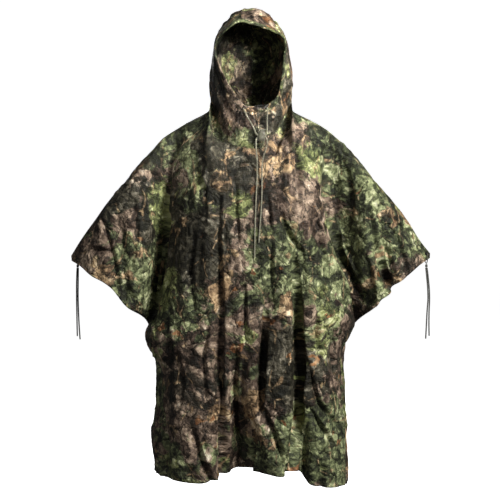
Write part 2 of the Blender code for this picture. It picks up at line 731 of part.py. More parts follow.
def finished_panel(face):
    """Mid-surface points, triangles and normals of a body panel, with its seams set."""
    body, sleeves = panel_grids(face)
    points, quads, grids = join_grids(body, sleeves)
    if face == "back":
        quads = quads[:, ::-1]
    triangles = triangles_of(points, quads)
    normals = vertex_normals(points, triangles)
    sign = -1 if face == "front" else 1
    shoulders = SHOULDER_COLUMNS[face]
    top = np.concatenate([
        grids[0][0, : shoulders + 1], grids[0][0, -shoulders - 1 :], grids[1][0], grids[2][0],
    ])
    neck = grids[0][0, shoulders:-shoulders]
    below = grids[0][1, shoulders:-shoulders]
    normals[neck] = neck_normal(points[neck].copy())
    normals[top, 1] = 0
    normals[top] = unit(normals[top])
    points[neck] += unit(points[below] - points[neck]) * SEAM_GAP / 2
    points[top, 1] = sign * SEAM_GAP / 2
    return points, triangles, normals, grids


def tuck_under(points, normals, grid, front_points, front_normals, front_grid):
    """Sets the back panel's edge strips under those of the front, in the same lines."""
    first = len(UPPER_ROWS)
    step = WALL + LAP_GAP
    for edge, next_in, over, over_next in ((0, 1, 1, 0), (-1, -2, -2, -1)):
        for mine, theirs in ((edge, over), (next_in, over_next)):
            at = grid[first:, mine]
            of = front_grid[first:, theirs]
            points[at] = front_points[of] - front_normals[of] * step
            normals[at] = front_normals[of]
        past = grid[first:, 2 if edge == 0 else -3]
        points[past] -= normals[past] * step / 2
    return points, normals


def make_panels(cloth):
    front_points, front_triangles, front_normals, front_grids = finished_panel("front")
    points, triangles, normals, grids = finished_panel("back")
    points, normals = tuck_under(points, normals, grids[0], front_points, front_normals, front_grids[0])
    normals_again = vertex_normals(points, triangles)
    rows = grids[0][len(UPPER_ROWS) :, 2:-2]
    normals[rows] = normals_again[rows]
    front = make_object("front_panel", *closed_wall(front_points, front_triangles, front_normals), cloth)
    back = make_object("back_panel", *closed_wall(points, triangles, normals), cloth)
    return {
        "front": {
            "object": front, "points": front_points, "triangles": front_triangles,
            "normals": front_normals, "grids": front_grids,
        },
        "back": {
            "object": back, "points": points, "triangles": triangles, "normals": normals,
            "grids": grids,
        },
    }


# --- hood ---


def hood_stations(side):
    above = np.linspace(NAPE, len(FACE_EDGE) - 1, SEAM_ROWS + 1)[1:]
    return np.concatenate([neck_stations(side), above])


def hood_row(side, station, count):
    """One line of the hood, from the face edge round to the neck or the centre seam."""
    x, y, z, turn = FACE_EDGE[station]
    edge = turned((side * x * MM, y * MM, z * MM), turn)
    if station <= NAPE:
        outer = neck_table(side)[station]
    else:
        outer = np.array(HOOD_SEAM[station - NAPE - 1]) * MM
    if station < FIRST_SIDE:
        middle = 0.5 * (edge + outer)
        middle = middle * (1 + THROAT_BULGE / np.linalg.norm(middle[:2]))
        return smooth_line([edge, middle, outer], count)
    x, y, z = HOOD_SIDE[station - FIRST_SIDE]
    middle = turned((side * x * MM, y * MM, z * MM), 0.5 * turn)
    if station == len(FACE_EDGE) - 1:
        middle[0] = 0.5 * (edge[0] + outer[0])
        return smooth_line([edge, middle, outer], count)
    t = np.linspace(0, 1, 40)[:, None]
    first = edge + (middle - edge) * t
    first[:, :1] = edge[0] + (middle[0] - edge[0]) * np.sin(t * math.pi / 2)
    second = middle + (outer - middle) * np.sin(t * math.pi / 2)
    second[:, :1] = middle[0] + (outer[0] - middle[0]) * (1 - np.cos(t * math.pi / 2))
    if station <= NAPE:
        second[:, 2:] = middle[2] + (outer[2] - middle[2]) * t
    line = np.concatenate([first, second[1:]])
    return evenly(smooth_line(line[::6], 200), np.linspace(0, 1, count))


def hood_grid(side, stations, count):
    last = len(FACE_EDGE) - 1
    rows = np.array([hood_row(side, k, count) for k in range(last + 1)])
    whole = smooth(stations, np.arange(last + 1), rows)
    lower = smooth(np.minimum(stations, NAPE), np.arange(NAPE + 1), rows[: NAPE + 1])
    upper = smooth(np.maximum(stations, NAPE), np.arange(NAPE, last + 1), rows[NAPE:])
    cornered = np.where((stations <= NAPE)[:, None, None], lower, upper)
    sharp = (np.linspace(0, 1, count) ** 3)[None, :, None]
    return whole * (1 - sharp) + cornered * sharp


def make_hood_half(name, side, cloth):
    stations = hood_stations(side)
    grid = hood_grid(side, stations, HOOD_COLUMNS + 1)
    rows, columns = grid.shape[:2]
    points = grid.reshape(-1, 3).copy()
    at = np.arange(rows * columns).reshape(rows, columns)
    quads = grid_quads(at)
    if side < 0:
        quads = quads[:, ::-1]
    triangles = triangles_of(points, quads)
    normals = vertex_normals(points, triangles)
    centre = np.mean(points, axis=0)
    if np.sum(normals * (points - centre)) < 0:
        triangles, normals = triangles[:, ::-1], -normals
    neck = at[: NECK_STEPS["front"] + NECK_STEPS["back"] + 1, -1]
    inner = at[: NECK_STEPS["front"] + NECK_STEPS["back"] + 1, -2]
    normals[neck] = neck_normal(points[neck].copy())
    points[neck] += unit(points[inner] - points[neck]) * SEAM_GAP / 2
    seam = np.unique(np.concatenate([at[0], at[-1], at[len(neck) - 1 :, -1]]))
    normals[seam, 0] = 0
    normals[seam] = unit(normals[seam])
    points[seam, 0] += side * SEAM_GAP / 2
    return make_object(name, *closed_wall(points, triangles, normals), cloth)


def face_ring(count):
    """The face edge as a closed ring: points, directions into the face, normals."""
    half = np.linspace(0, len(FACE_EDGE) - 1, 160)
    right = hood_grid(1, half, 12)[:, :2]
    left = hood_grid(-1, half, 12)[:, :2]
    into = {}
    for side, grid in ((1, right), (-1, left)):
        into[side] = unit(grid[:, 0] - grid[:, 1])
    for end in (0, -1):
        mean = unit(into[1][end] + into[-1][end])
        into[1][end] = into[-1][end] = mean
    ring_points = np.concatenate([right[:, 0], left[-2:0:-1, 0]])
    ring_into = np.concatenate([into[1], into[-1][-2:0:-1]])
    closed = np.concatenate([ring_points, ring_points[:1]])
    along = distances(closed)
    at = np.linspace(0, along[-1], count, endpoint=False)
    points = np.stack([np.interp(at, along, closed[:, k]) for k in range(3)], axis=-1)
    reach = np.concatenate([ring_into, ring_into[:1]])
    into = np.stack([np.interp(at, along, reach[:, k]) for k in range(3)], axis=-1)
    for _ in range(max(2, count // 28)):
        into = (np.roll(into, 1, axis=0) + 2 * into + np.roll(into, -1, axis=0)) / 4
        points = (np.roll(points, 1, axis=0) + 6 * points + np.roll(points, -1, axis=0)) / 8
    tangent = unit(np.roll(points, -1, axis=0) - np.roll(points, 1, axis=0))
    into = unit(into - tangent * np.sum(into * tangent, axis=1, keepdims=True))
    normal = np.cross(tangent, into)
    if normal[0, 1] > 0:
        normal = -normal
    return points, into, normal


def make_casing(cloth):
    points, into, normal = face_ring(CASING_STEPS)
    centre = points + into * (CASING_WIDTH / 2 + SEAM_GAP)
    angles = np.arange(CASING_SIDES) * 2 * math.pi / CASING_SIDES
    wide = np.sign(np.cos(angles)) * np.abs(np.cos(angles)) ** (2 / CASING_POWER) * CASING_WIDTH / 2
    thick = np.sign(np.sin(angles)) * np.abs(np.sin(angles)) ** (2 / CASING_POWER) * CASING_THICK / 2
    rings = centre[:, None] + into[:, None] * wide[None, :, None] + normal[:, None] * thick[None, :, None]
    at = np.arange(CASING_STEPS * CASING_SIDES).reshape(CASING_STEPS, CASING_SIDES)
    closed = np.concatenate([at, at[:1]])
    closed = np.concatenate([closed, closed[:, :1]], axis=1)
    quads = grid_quads(closed)
    flat = rings.reshape(-1, 3)
    triangles = triangles_of(flat, quads)
    a, b, c = (flat[triangles[:, k]] for k in range(3))
    if np.sum(a * np.cross(b, c)) < 0:
        triangles = triangles[:, ::-1]
    return make_object("hood_casing", flat, triangles, cloth)


# --- fittings ---


def sheet_tree(points, triangles):
    """A search tree of a panel's mid-surface."""
    return BVHTree.FromPolygons([tuple(p) for p in points], [tuple(map(int, t)) for t in triangles])


def seat(tree, at, axis, radius):
    """The lowest place of a flat disc's centre along its axis, clear of the wall."""
    across = unit(np.cross(axis, (0.31, 0.12, 0.94)))
    other = np.cross(axis, across)
    top = 0.0
    for angle in np.linspace(0, 2 * math.pi, 16, endpoint=False):
        spoke = across * math.cos(angle) + other * math.sin(angle)
        for share in (0.4, 0.8, 1.1):
            start = at + spoke * radius * share + axis * 20 * MM
            hit, _, _, _ = tree.ray_cast(tuple(start), tuple(-axis), 40 * MM)
            if hit is not None:
                top = max(top, float(np.dot(np.array(hit) - at, axis)))
    return at + axis * (top + WALL / 2 + PIECE_GAP)


def make_chin_eyelets(metal):
    """An eyelet on the casing at each side of the chin."""
    points, into, normal = face_ring(CASING_STEPS)
    centre = points + into * (CASING_WIDTH / 2 + SEAM_GAP)
    middle = 0.5 * (centre + np.roll(centre, -1, axis=0))
    for side, x in CHIN_EYELET_X.items():
        low = np.where(middle[:, 2] < 40 * MM, np.abs(middle[:, 0] - x), np.inf)
        k = int(np.argmin(low))
        axis = unit(normal[k] + normal[(k + 1) % len(normal)])
        base = middle[k] + axis * (CASING_THICK / 2 + PIECE_GAP)
        turned_solid(f"chin_eyelet_{side}", CHIN_EYELET, base, axis, metal, 16)


def make_studs(panels, paint):
    """The caps of the press studs down both overlaps, on the front panel."""
    front = panels["front"]
    tree = sheet_tree(front["points"], front["triangles"])
    grid = front["grids"][0][len(UPPER_ROWS) :]
    for side, edge, inner in (("left", 0, 1), ("right", -1, -2)):
        line = 0.5 * (front["points"][grid[:, edge]] + front["points"][grid[:, inner]])
        out = front["normals"][grid[:, edge]] + front["normals"][grid[:, inner]]
        for k, height in enumerate(STUD_HEIGHTS, 1):
            at = smooth(np.array([-height]), -line[:, 2], line)[0]
            axis = unit(smooth(np.array([-height]), -line[:, 2], out)[0])
            base = seat(tree, at, axis, STUD_REACH)
            turned_solid(f"press_stud_{side}_{k}", STUD_CAP, base, axis, paint, STUD_STEPS)


def tie_loop(centre, axis, lower):
    """The loop through the eyelet and round the lower edge of the sleeve."""
    turn = np.linspace(0, 2 * math.pi, 24, endpoint=False)
    down = 0.5 * (LOOP_TOP + LOOP_BOTTOM) - 0.5 * (LOOP_BOTTOM - LOOP_TOP) * np.cos(turn)
    share = np.clip((down - LOOP_TOP) / (LOOP_BOTTOM - LOOP_TOP), 0, 1)
    off = LOOP_WIDTH * np.sin(turn) * (1 - 0.5 * share**1.5)
    return centre + np.outer(off, axis) + np.outer(down, unit(lower - centre))


def make_tip_ties(panels, metal, cord):
    """The eyelet of each sleeve tip, with the loop, knot and two ends of its tie."""
    for side, (x, z, face) in TIP_EYELETS.items():
        panel = panels[face]
        tree = sheet_tree(panel["points"], panel["triangles"])
        out = np.array((0, -1.0 if face == "front" else 1.0, 0))
        hit, normal, _, _ = tree.ray_cast((x, out[1], z), tuple(-out))
        low, _, _, _ = tree.ray_cast((x, out[1], z - LOOP_DROP), tuple(-out))
        axis = np.array(normal) * np.sign(normal.y * out[1])
        centre = np.array(hit)
        turned_solid(f"sleeve_eyelet_{side}", TIP_EYELET, centre, axis, metal, 16)
        reach = axis * 8 * MM
        combine(panel["object"], rod(f"sleeve_hole_{side}", PANEL_HOLE, centre - reach, centre + reach, metal))
        loop = tie_loop(centre, axis, np.array(low))
        make_cord(f"tie_loop_{side}", loop, TIE_DIAMETER, LOOP_STEPS, cord, cyclic=True)
        foot = loop[len(loop) // 2] - np.array((0, 0, TIE_DIAMETER / 2 + SEAM_GAP + KNOT_HEIGHT))
        turned_solid(f"tie_knot_{side}", KNOT, foot, (0, 0, 1), cord, 14)
        for end in ("a", "b"):
            route = foot + np.array(TIE_ROUTES[f"{side}_{end}"]) * MM
            make_cord(f"tie_end_{side}_{end}", route, TIE_DIAMETER, TIE_STEPS, cord)


def make_lock(plastic):
    """The sprung cord lock: a barrel with a cross tunnel, and its button."""
    half = LOCK_HEIGHT / 2
    up = np.array((0.0, 0.0, 1.0))
    rows = (
        (0.84, -half), (0.97, 0.4 * LOCK_BEVEL - half), (1.0, LOCK_BEVEL - half),
        (1.0, half - LOCK_BEVEL), (0.97, half - 0.4 * LOCK_BEVEL), (0.9, half),
    )
    barrel = lofted_block("cord_lock_barrel", LOCK_CENTRE, (LOCK_WIDTH, LOCK_DEPTH), rows, plastic)
    top = LOCK_CENTRE + up * half
    base = top + up * BUTTON_GAP
    rows = ((0.88, 0), (1, 0.25 * BUTTON_THICK), (1, 0.7 * BUTTON_THICK), (0.86, BUTTON_THICK))
    button = lofted_block("cord_lock_button", base, (BUTTON_WIDTH, LOCK_DEPTH), rows, plastic)
    stem_top = base + up * BUTTON_THICK / 2
    combine(button, rod("lock_stem", STEM_RADIUS, top - up * STEM_DEPTH, stem_top, plastic), "UNION")
    bore_foot = top - up * BORE_DEPTH
    combine(barrel, rod("lock_bore", BORE_RADIUS, bore_foot, stem_top, plastic))
    rows = ((1, -LOCK_WIDTH), (1, LOCK_WIDTH))
    size = (TUNNEL_HEIGHT, TUNNEL_DEPTH)
    tunnel = lofted_block("lock_tunnel", LOCK_CENTRE, size, rows, plastic, TUNNEL_POWER, along_x=True)
    combine(barrel, tunnel)
    combine(button, tunnel)


def main():
    for old in list(bpy.data.objects):
        bpy.data.objects.remove(old, do_unlink=True)
    cloth = make_material("poncho_cloth", (0.16, 0.18, 0.09), 0.55)
    cord = make_material("cord", (0.13, 0.13, 0.12), 0.8)
    plastic = make_material("lock_plastic", (0.12, 0.13, 0.10), 0.5)
    metal = make_material("eyelet_metal", (0.10, 0.10, 0.09), 0.4, 0.8)
    paint = make_material("stud_paint", (0.14, 0.16, 0.08), 0.45, 0.3)
    panels = make_panels(cloth)
    make_hood_half("hood_left", -1, cloth)
    make_hood_half("hood_right", 1, cloth)
    make_casing(cloth)
    make_chin_eyelets(metal)
    make_lock(plastic)
    for side, route in CORD_ROUTES.items():
        make_cord(f"hood_cord_{side}", np.array(route) * MM, CORD_DIAMETER, CORD_STEPS, cord)
    make_tip_ties(panels, metal, cord)
    make_studs(panels, paint)


main()
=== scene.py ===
"""The looks of a hooded rain poncho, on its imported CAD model, in metres with +Z up.

Every cloth piece repeats its solid's form from the same tables at a finer step, as a
thin shell with creases, hems, stitches and a printed camouflage of its own.
"""

import math

import bmesh
import bpy
import numpy as np
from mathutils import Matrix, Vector
from mathutils.kdtree import KDTree

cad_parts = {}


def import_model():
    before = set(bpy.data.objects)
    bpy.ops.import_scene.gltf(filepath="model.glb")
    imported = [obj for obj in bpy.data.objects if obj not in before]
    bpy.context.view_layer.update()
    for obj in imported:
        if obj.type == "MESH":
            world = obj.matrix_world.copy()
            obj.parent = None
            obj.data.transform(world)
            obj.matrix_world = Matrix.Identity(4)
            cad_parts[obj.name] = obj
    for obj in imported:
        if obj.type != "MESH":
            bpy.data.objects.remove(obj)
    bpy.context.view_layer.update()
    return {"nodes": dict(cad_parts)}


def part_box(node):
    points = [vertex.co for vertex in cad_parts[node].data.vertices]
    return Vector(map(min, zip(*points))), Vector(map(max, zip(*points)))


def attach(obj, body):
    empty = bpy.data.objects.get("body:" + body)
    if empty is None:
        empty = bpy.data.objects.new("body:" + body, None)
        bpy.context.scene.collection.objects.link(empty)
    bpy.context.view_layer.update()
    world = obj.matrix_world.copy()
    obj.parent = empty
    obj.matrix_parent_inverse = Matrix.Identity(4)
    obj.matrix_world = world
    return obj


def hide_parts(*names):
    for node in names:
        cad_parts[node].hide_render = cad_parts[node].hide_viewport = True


MM = 0.001
CLOTH = 0.7 * MM
SEAM_GAP = 0.3 * MM
LAP_GAP = 0.9 * MM

# Rows are (x, z) along the top line of the sleeve, from beside the neck to the tip.
SHOULDER_LEFT = (
    (-114, 20), (-130, 9), (-160, -6), (-208, -34), (-249, -62), (-276, -92), (-314, -132),
    (-347, -176), (-392, -226), (-437, -288), (-476, -342), (-504, -386),
)
SHOULDER_RIGHT = (
    (115, 18), (131, 8), (160, -6), (208, -33), (241, -61), (274, -92), (312, -137),
    (340, -176), (390, -228), (437, -288), (474, -346), (501, -379),
)
# Rows are (x, z) along the lower edge of the sleeve, from the side corner to the tip.
SLEEVE_EDGE_LEFT = (
    (-283, -582), (-299, -557), (-347, -517), (-384, -470), (-412, -452), (-430, -444),
    (-483, -407), (-501, -399),
)
SLEEVE_EDGE_RIGHT = (
    (290, -576), (324, -539), (346, -519), (354, -505), (375, -489), (385, -471), (409, -454),
    (441, -429), (486, -399), (500, -392),
)
# Rows are (z, x) down the side of the body: the armpit valley, then the outline.
SIDE_LEFT = (
    (-34, -208), (-190, -226), (-330, -238), (-450, -247), (-510, -258), (-550, -270),
    (-582, -283), (-618, -297), (-652, -286), (-683, -268), (-740, -264), (-820, -264),
    (-890, -275), (-985, -272),
)
SIDE_RIGHT = (
    (-33, 208), (-190, 226), (-330, 246), (-450, 262), (-530, 280), (-576, 290),
    (-624, 266), (-661, 258), (-735, 263), (-790, 265), (-871, 271), (-1020, 272),
)
# Rows are (x, z) along the hem, from the left side to the right side.
HEM_FRONT = (
    (-272, -985), (-200, -987), (-110, -986), (-80, -974), (-30, -962), (20, -962),
    (80, -966), (130, -964), (150, -988), (200, -1006), (272, -1018),
)
HEM_BACK = (
    (-272, -985), (-200, -1000), (-120, -990), (-40, -1004), (40, -992), (120, -1004),
    (200, -998), (272, -1018),
)
# Rows are (share of the way down, depth of the front, depth of the back).
BODY_DEPTH = (
    (0.0, 118, 96), (0.12, 136, 122), (0.30, 148, 138), (0.57, 158, 140), (1.0, 168, 158),
)
# Rows are (share of the way along the sleeve, reach to the front, reach to the back).
SLEEVE_DEPTH = ((0.0, 62, 54), (0.35, 66, 58), (0.7, 48, 44), (0.9, 24, 22), (1.0, 7, 7))
SLEEVE_FLARE = 22 * MM
ROUND_BODY = 110 * MM
ROUND_NECK = 165 * MM
NECK_BLEND = 34 * MM
ROUND_SLEEVE = 46 * MM
RING_POWER = 2.4

# Rows are (share of the way down, angle at the left edge, angle at the right edge), in
# degrees from the outline of the body at that side. Below zero the cloth has passed
# the outline and lies on the other side.
CORNER = 0.57
FRONT_EDGES = (
    (0.0, 20, 20), (0.3, 17, 17), (0.5, 11, 11), (CORNER, 0.6, 0.6), (0.615, 19, 12),
    (0.665, 26, 18), (1.0, 26, 18),
)
BACK_EDGES = (
    (0.0, 20, 20), (0.3, 17, 17), (0.5, 11, 11), (CORNER, 1.2, 1.2), (0.615, -26, -19),
    (0.665, -33, -25), (1.0, -33, -25),
)
LAP_DEGREES = 7.0

# The neck seam, in the hood's stations from the front V to the nape: x, y, z.
NECK_LEFT = (
    (28, -128, -94), (-22, -125, -90), (-60, -108, -74), (-82, -84, -34), (-101, -40, 16),
    (-112, 12, 48), (-84, 72, 48), (0, 102, 40),
)
NECK_RIGHT = (
    (28, -128, -94), (50, -113, -68), (69, -90, -40), (86, -60, -10), (104, -26, 20),
    (112, 12, 44), (84, 72, 46), (0, 102, 40),
)
NAPE = 7
# The edge of the hood panels round the face, from the chin up to the peak: x, y, z and
# the turn of that station about the vertical, in degrees.
FACE_EDGE = (
    (0, -139, 3, 4.5), (30, -137, 5, 4.5), (58, -123, 28, 6), (70, -110, 52, 6),
    (79, -99, 76, 4.5), (88, -90, 110, 2), (92, -87, 134, 0), (95, -86, 157, -1.5),
    (97, -89, 180, -1), (91, -96, 202, 0), (80, -105, 216, -1), (49, -126, 233, -5),
    (19, -138, 246, -9), (0, -143, 250, -10),
)
# The widest points of the hood, from station 4 up to the peak: x, y, z.
FIRST_SIDE = 4
HOOD_SIDE = (
    (105, -38, 66), (114, -8, 94), (113, 2, 121), (109, 8, 148), (105, 8, 176), (100, 4, 206),
    (88, -6, 238), (60, -40, 268), (26, -88, 281), (0, -108, 273),
)
# The centre seam, from above the nape over the crown to behind the peak: x, y, z.
HOOD_SEAM = (
    (0, 122, 100), (0, 127, 165), (-2, 108, 235), (-4, 58, 284), (-12, -20, 304), (-24, -72, 295),
)
THROAT_BULGE = 6 * MM
CASING_WIDTH = 15.5 * MM
CASING_THICK = 4.4 * MM
CASING_POWER = 3.2

# Large folds. A fold is rows of (x, z, half width, depth); depth is inwards.
FRONT_FOLDS = (
    (
        (-214, -70, 12, 8), (-226, -190, 14, 24), (-240, -340, 19, 34), (-258, -500, 22, 30),
        (-278, -570, 16, 6),
    ),
    (
        (213, -70, 12, 8), (220, -180, 14, 26), (238, -280, 16, 30), (256, -370, 16, 28),
        (300, -470, 16, 22), (330, -512, 14, 16),
    ),
    ((350, -300, 14, 4), (368, -390, 15, 18), (382, -452, 16, 22), (388, -480, 16, 20)),
    ((-36, -640, 24, 4), (-38, -760, 34, 34), (-36, -880, 42, 70), (-34, -1010, 48, 98)),
    (
        (82, -270, 14, 8), (116, -350, 15, 16), (134, -440, 15, 18), (138, -700, 15, 20),
        (137, -880, 16, 30), (138, -1030, 16, 42),
    ),
    ((58, -400, 14, 4), (56, -520, 14, 13), (38, -640, 14, 13), (34, -780, 14, 6)),
    ((-84, -420, 14, 4), (-86, -620, 14, 12), (-92, -800, 14, 6)),
    ((-186, -520, 46, -4), (-190, -760, 50, -14), (-190, -1010, 52, -24)),
    ((74, -620, 34, -4), (76, -1010, 38, -22)),
    ((208, -560, 40, -3), (206, -1030, 40, -14)),
    ((-360, -250, 16, 3), (-352, -360, 18, 14), (-342, -500, 18, 12)),
)
BACK_FOLDS = (
    (
        (-206, -70, 12, 8), (-222, -200, 15, 24), (-240, -360, 18, 32), (-262, -510, 20, 26),
        (-280, -575, 14, 5),
    ),
    (
        (206, -70, 12, 8), (224, -210, 15, 26), (244, -370, 18, 32), (268, -500, 20, 24),
        (286, -570, 14, 5),
    ),
    ((-372, -270, 14, 3), (-366, -380, 16, 16), (-360, -500, 16, 14)),
    ((352, -270, 14, 3), (348, -380, 16, 15), (340, -520, 16, 14)),
    ((-112, -300, 18, 5), (-128, -560, 20, 22), (-136, -800, 24, 36), (-138, -1020, 28, 52)),
    ((6, -160, 22, 5), (10, -420, 18, 14), (14, -740, 22, 26), (14, -1020, 26, 44)),
    ((118, -280, 18, 5), (136, -520, 20, 20), (150, -800, 24, 38), (152, -1030, 28, 54)),
    ((-62, -620, 34, -4), (-62, -1010, 36, -16)),
    ((82, -620, 34, -4), (82, -1010, 36, -16)),
)

# Routes of the tie ends from the lower end of the knot: x, y, z.
TIE_ROUTES = {
    "right_a": (
        (-1.5, 0, -0.3), (-0.5, 0, -10), (1.5, -0.5, -30), (4, -1, -60), (5, 0, -88), (3, 1, -120),
        (1, 0, -160), (-1, -1, -199),
    ),
    "right_b": (
        (1.6, 0, -0.3), (3, 0, -10), (5.5, 0.5, -30), (8.3, 0, -60), (9.4, 1, -88), (8.6, 2, -120),
        (8.2, 1, -160), (8.8, 0, -191),
    ),
    "left_a": (
        (-1.6, 0, -0.3), (-2.2, 0, -10), (-3.2, -0.5, -40), (-3.6, 0, -80), (-3.4, 1, -120),
        (-3, 1, -160), (-2.2, 0, -194),
    ),
    "left_b": (
        (1.6, 0, -0.3), (1.4, 0, -10), (0.8, 0.5, -40), (0.4, 0, -80), (1.2, 0, -120),
        (3.2, -0.5, -165), (5.5, 0, -203),
    ),
}

# Routes of the two ends of the hood cord, from the chin eyelet through the lock to the
# free end: x, y, z. They cross inside the lock.
CORD_ROUTES = {
    "left": (
        (-19.5, -143, 12), (-19.3, -147, 11), (-16.5, -151, 5), (-11, -153, -8), (-1, -154, -25),
        (7, -153.5, -40), (13, -152.8, -53), (18, -152.4, -59.2), (23, -152.3, -60.6),
        (28, -152.3, -61.5), (33, -152.3, -62.4), (38, -152.6, -64), (42, -153.2, -69),
        (42.8, -152.5, -78), (38, -148, -98), (31, -141, -125), (29, -137.5, -160),
        (29, -140.5, -200), (27, -146.2, -250), (23.5, -149.6, -300), (20.5, -152, -345),
    ),
    "right": (
        (42.5, -139, 14), (43.5, -144, 13), (44, -148, 6), (43, -150, -8), (42.8, -150, -25),
        (43, -149.5, -42), (41.8, -149, -54), (38, -148.8, -59.2), (33, -148.7, -60.6),
        (28, -148.7, -61.5), (23, -148.7, -62.4), (18, -149.4, -64), (14, -151, -69),
        (13, -151.5, -78), (14, -148, -98), (16, -141, -125), (16, -137.5, -160),
        (14, -141.2, -210), (11.5, -147.3, -270), (10, -151, -330), (9, -154, -384),
    ),
}

# Main creases of the panels. A crease is rows of (x, z, half width, depth).
FRONT_CREASES = (
    ((-214, -100, 7, 3), (-222, -193, 9, 8), (-230, -298, 11, 11), (-238, -385, 12, 12),
     (-252, -480, 12, 11), (-264, -545, 9, 6)),
    ((-276, -150, 5, 2), (-258, -180, 6, 5), (-241, -209, 5, 2)),
    ((-443, -360, 6, 2), (-412, -366, 7, 6), (-382, -369, 6, 2)),
    ((-102, 0, 7, 4), (-85, -48, 8, 8), (-51, -89, 7, 3)),
    ((-81, -228, 7, 3), (-85, -345, 8, 6), (-76, -523, 8, 7), (-78, -735, 7, 10),
     (-74, -965, 8, 14)),
    ((-40, -170, 6, 2), (-38, -260, 7, 5), (-33, -349, 6, 2)),
    ((208, -100, 6, 4), (206, -215, 8, 9), (225, -300, 9, 11), (254, -383, 9, 12),
     (278, -430, 9, 11), (312, -490, 8, 8)),
    ((330, -270, 6, 3), (343, -345, 8, 8), (360, -400, 9, 11), (382, -452, 9, 9)),
    ((318, -380, 5, 2), (331, -440, 6, 6), (340, -500, 6, 3)),
    ((87, -284, 6, 3), (117, -338, 7, 8), (142, -372, 6, 3)),
    ((118, -385, 8, 6), (134, -526, 11, 13), (139, -643, 12, 15), (139, -812, 11, 15),
     (127, -861, 9, 12), (110, -960, 8, 10)),
    ((47, -230, 5, 2), (52, -275, 6, 6), (54, -315, 5, 2)),
    ((56, -331, 5, 2), (57, -410, 6, 7), (56, -501, 5, 3)),
    ((-14, -460, 5, 3), (-14, -540, 6, 8), (-12, -620, 5, 3)),
    ((47, -440, 6, 4), (45, -520, 8, 10), (41, -606, 8, 14), (33, -735, 9, 15), (27, -790, 8, 8)),
    ((34, -785, 6, 4), (65, -853, 8, 10), (88, -935, 7, 8)),
    ((160, -790, 6, 3), (190, -840, 7, 8), (217, -885, 6, 3)),
    ((150, -640, 5, 2), (166, -718, 6, 7), (188, -783, 7, 8), (238, -845, 6, 3)),
    ((-152, -850, 6, 3), (-128, -925, 7, 9), (-103, -990, 7, 9)),
    ((-228, -560, 6, 2), (-212, -640, 7, 6), (-214, -720, 6, 2)),
    ((-196, -640, 5, 2), (-180, -720, 6, 5), (-190, -790, 5, 2)),
    ((80, -880, 5, 2), (96, -915, 6, 6), (104, -962, 6, 6)),
    ((-150, -120, 6, 2), (-122, -200, 7, 6), (-118, -290, 6, 2)),
    ((120, -70, 6, 3), (132, -150, 8, 7), (128, -240, 6, 3)),
    ((92, -30, 6, 4), (72, -90, 7, 6), (60, -130, 5, 2)),
    ((170, -250, 5, 2), (184, -330, 7, 7), (205, -410, 6, 3)),
    ((-150, -330, 5, 2), (-160, -420, 7, 7), (-150, -520, 6, 3)),
    ((-318, -230, 5, 2), (-310, -310, 7, 7), (-322, -400, 6, 3)),
    ((-400, -300, 5, 2), (-372, -390, 7, 7), (-360, -470, 7, 5)),
    ((268, -150, 5, 2), (282, -220, 7, 6), (276, -300, 6, 3)),
    ((400, -330, 5, 2), (420, -385, 7, 6), (428, -425, 6, 4)),
    ((12, -880, 6, 3), (6, -930, 7, 9), (2, -965, 7, 10)),
    ((-36, -640, 7, 4), (-42, -740, 8, 8), (-36, -860, 8, 6)),
    ((190, -500, 6, 2), (176, -580, 7, 7), (186, -660, 6, 2)),
    ((232, -560, 5, 2), (222, -650, 6, 6), (232, -730, 5, 2)),
    ((210, -900, 6, 3), (196, -950, 7, 8), (192, -1005, 7, 8)),
    ((-238, -800, 5, 2), (-226, -880, 7, 6), (-232, -960, 6, 4)),
    ((-110, -560, 5, 2), (-126, -650, 6, 6), (-118, -760, 5, 2)),
    ((88, -560, 5, 2), (98, -640, 6, 6), (86, -740, 5, 2)),
)
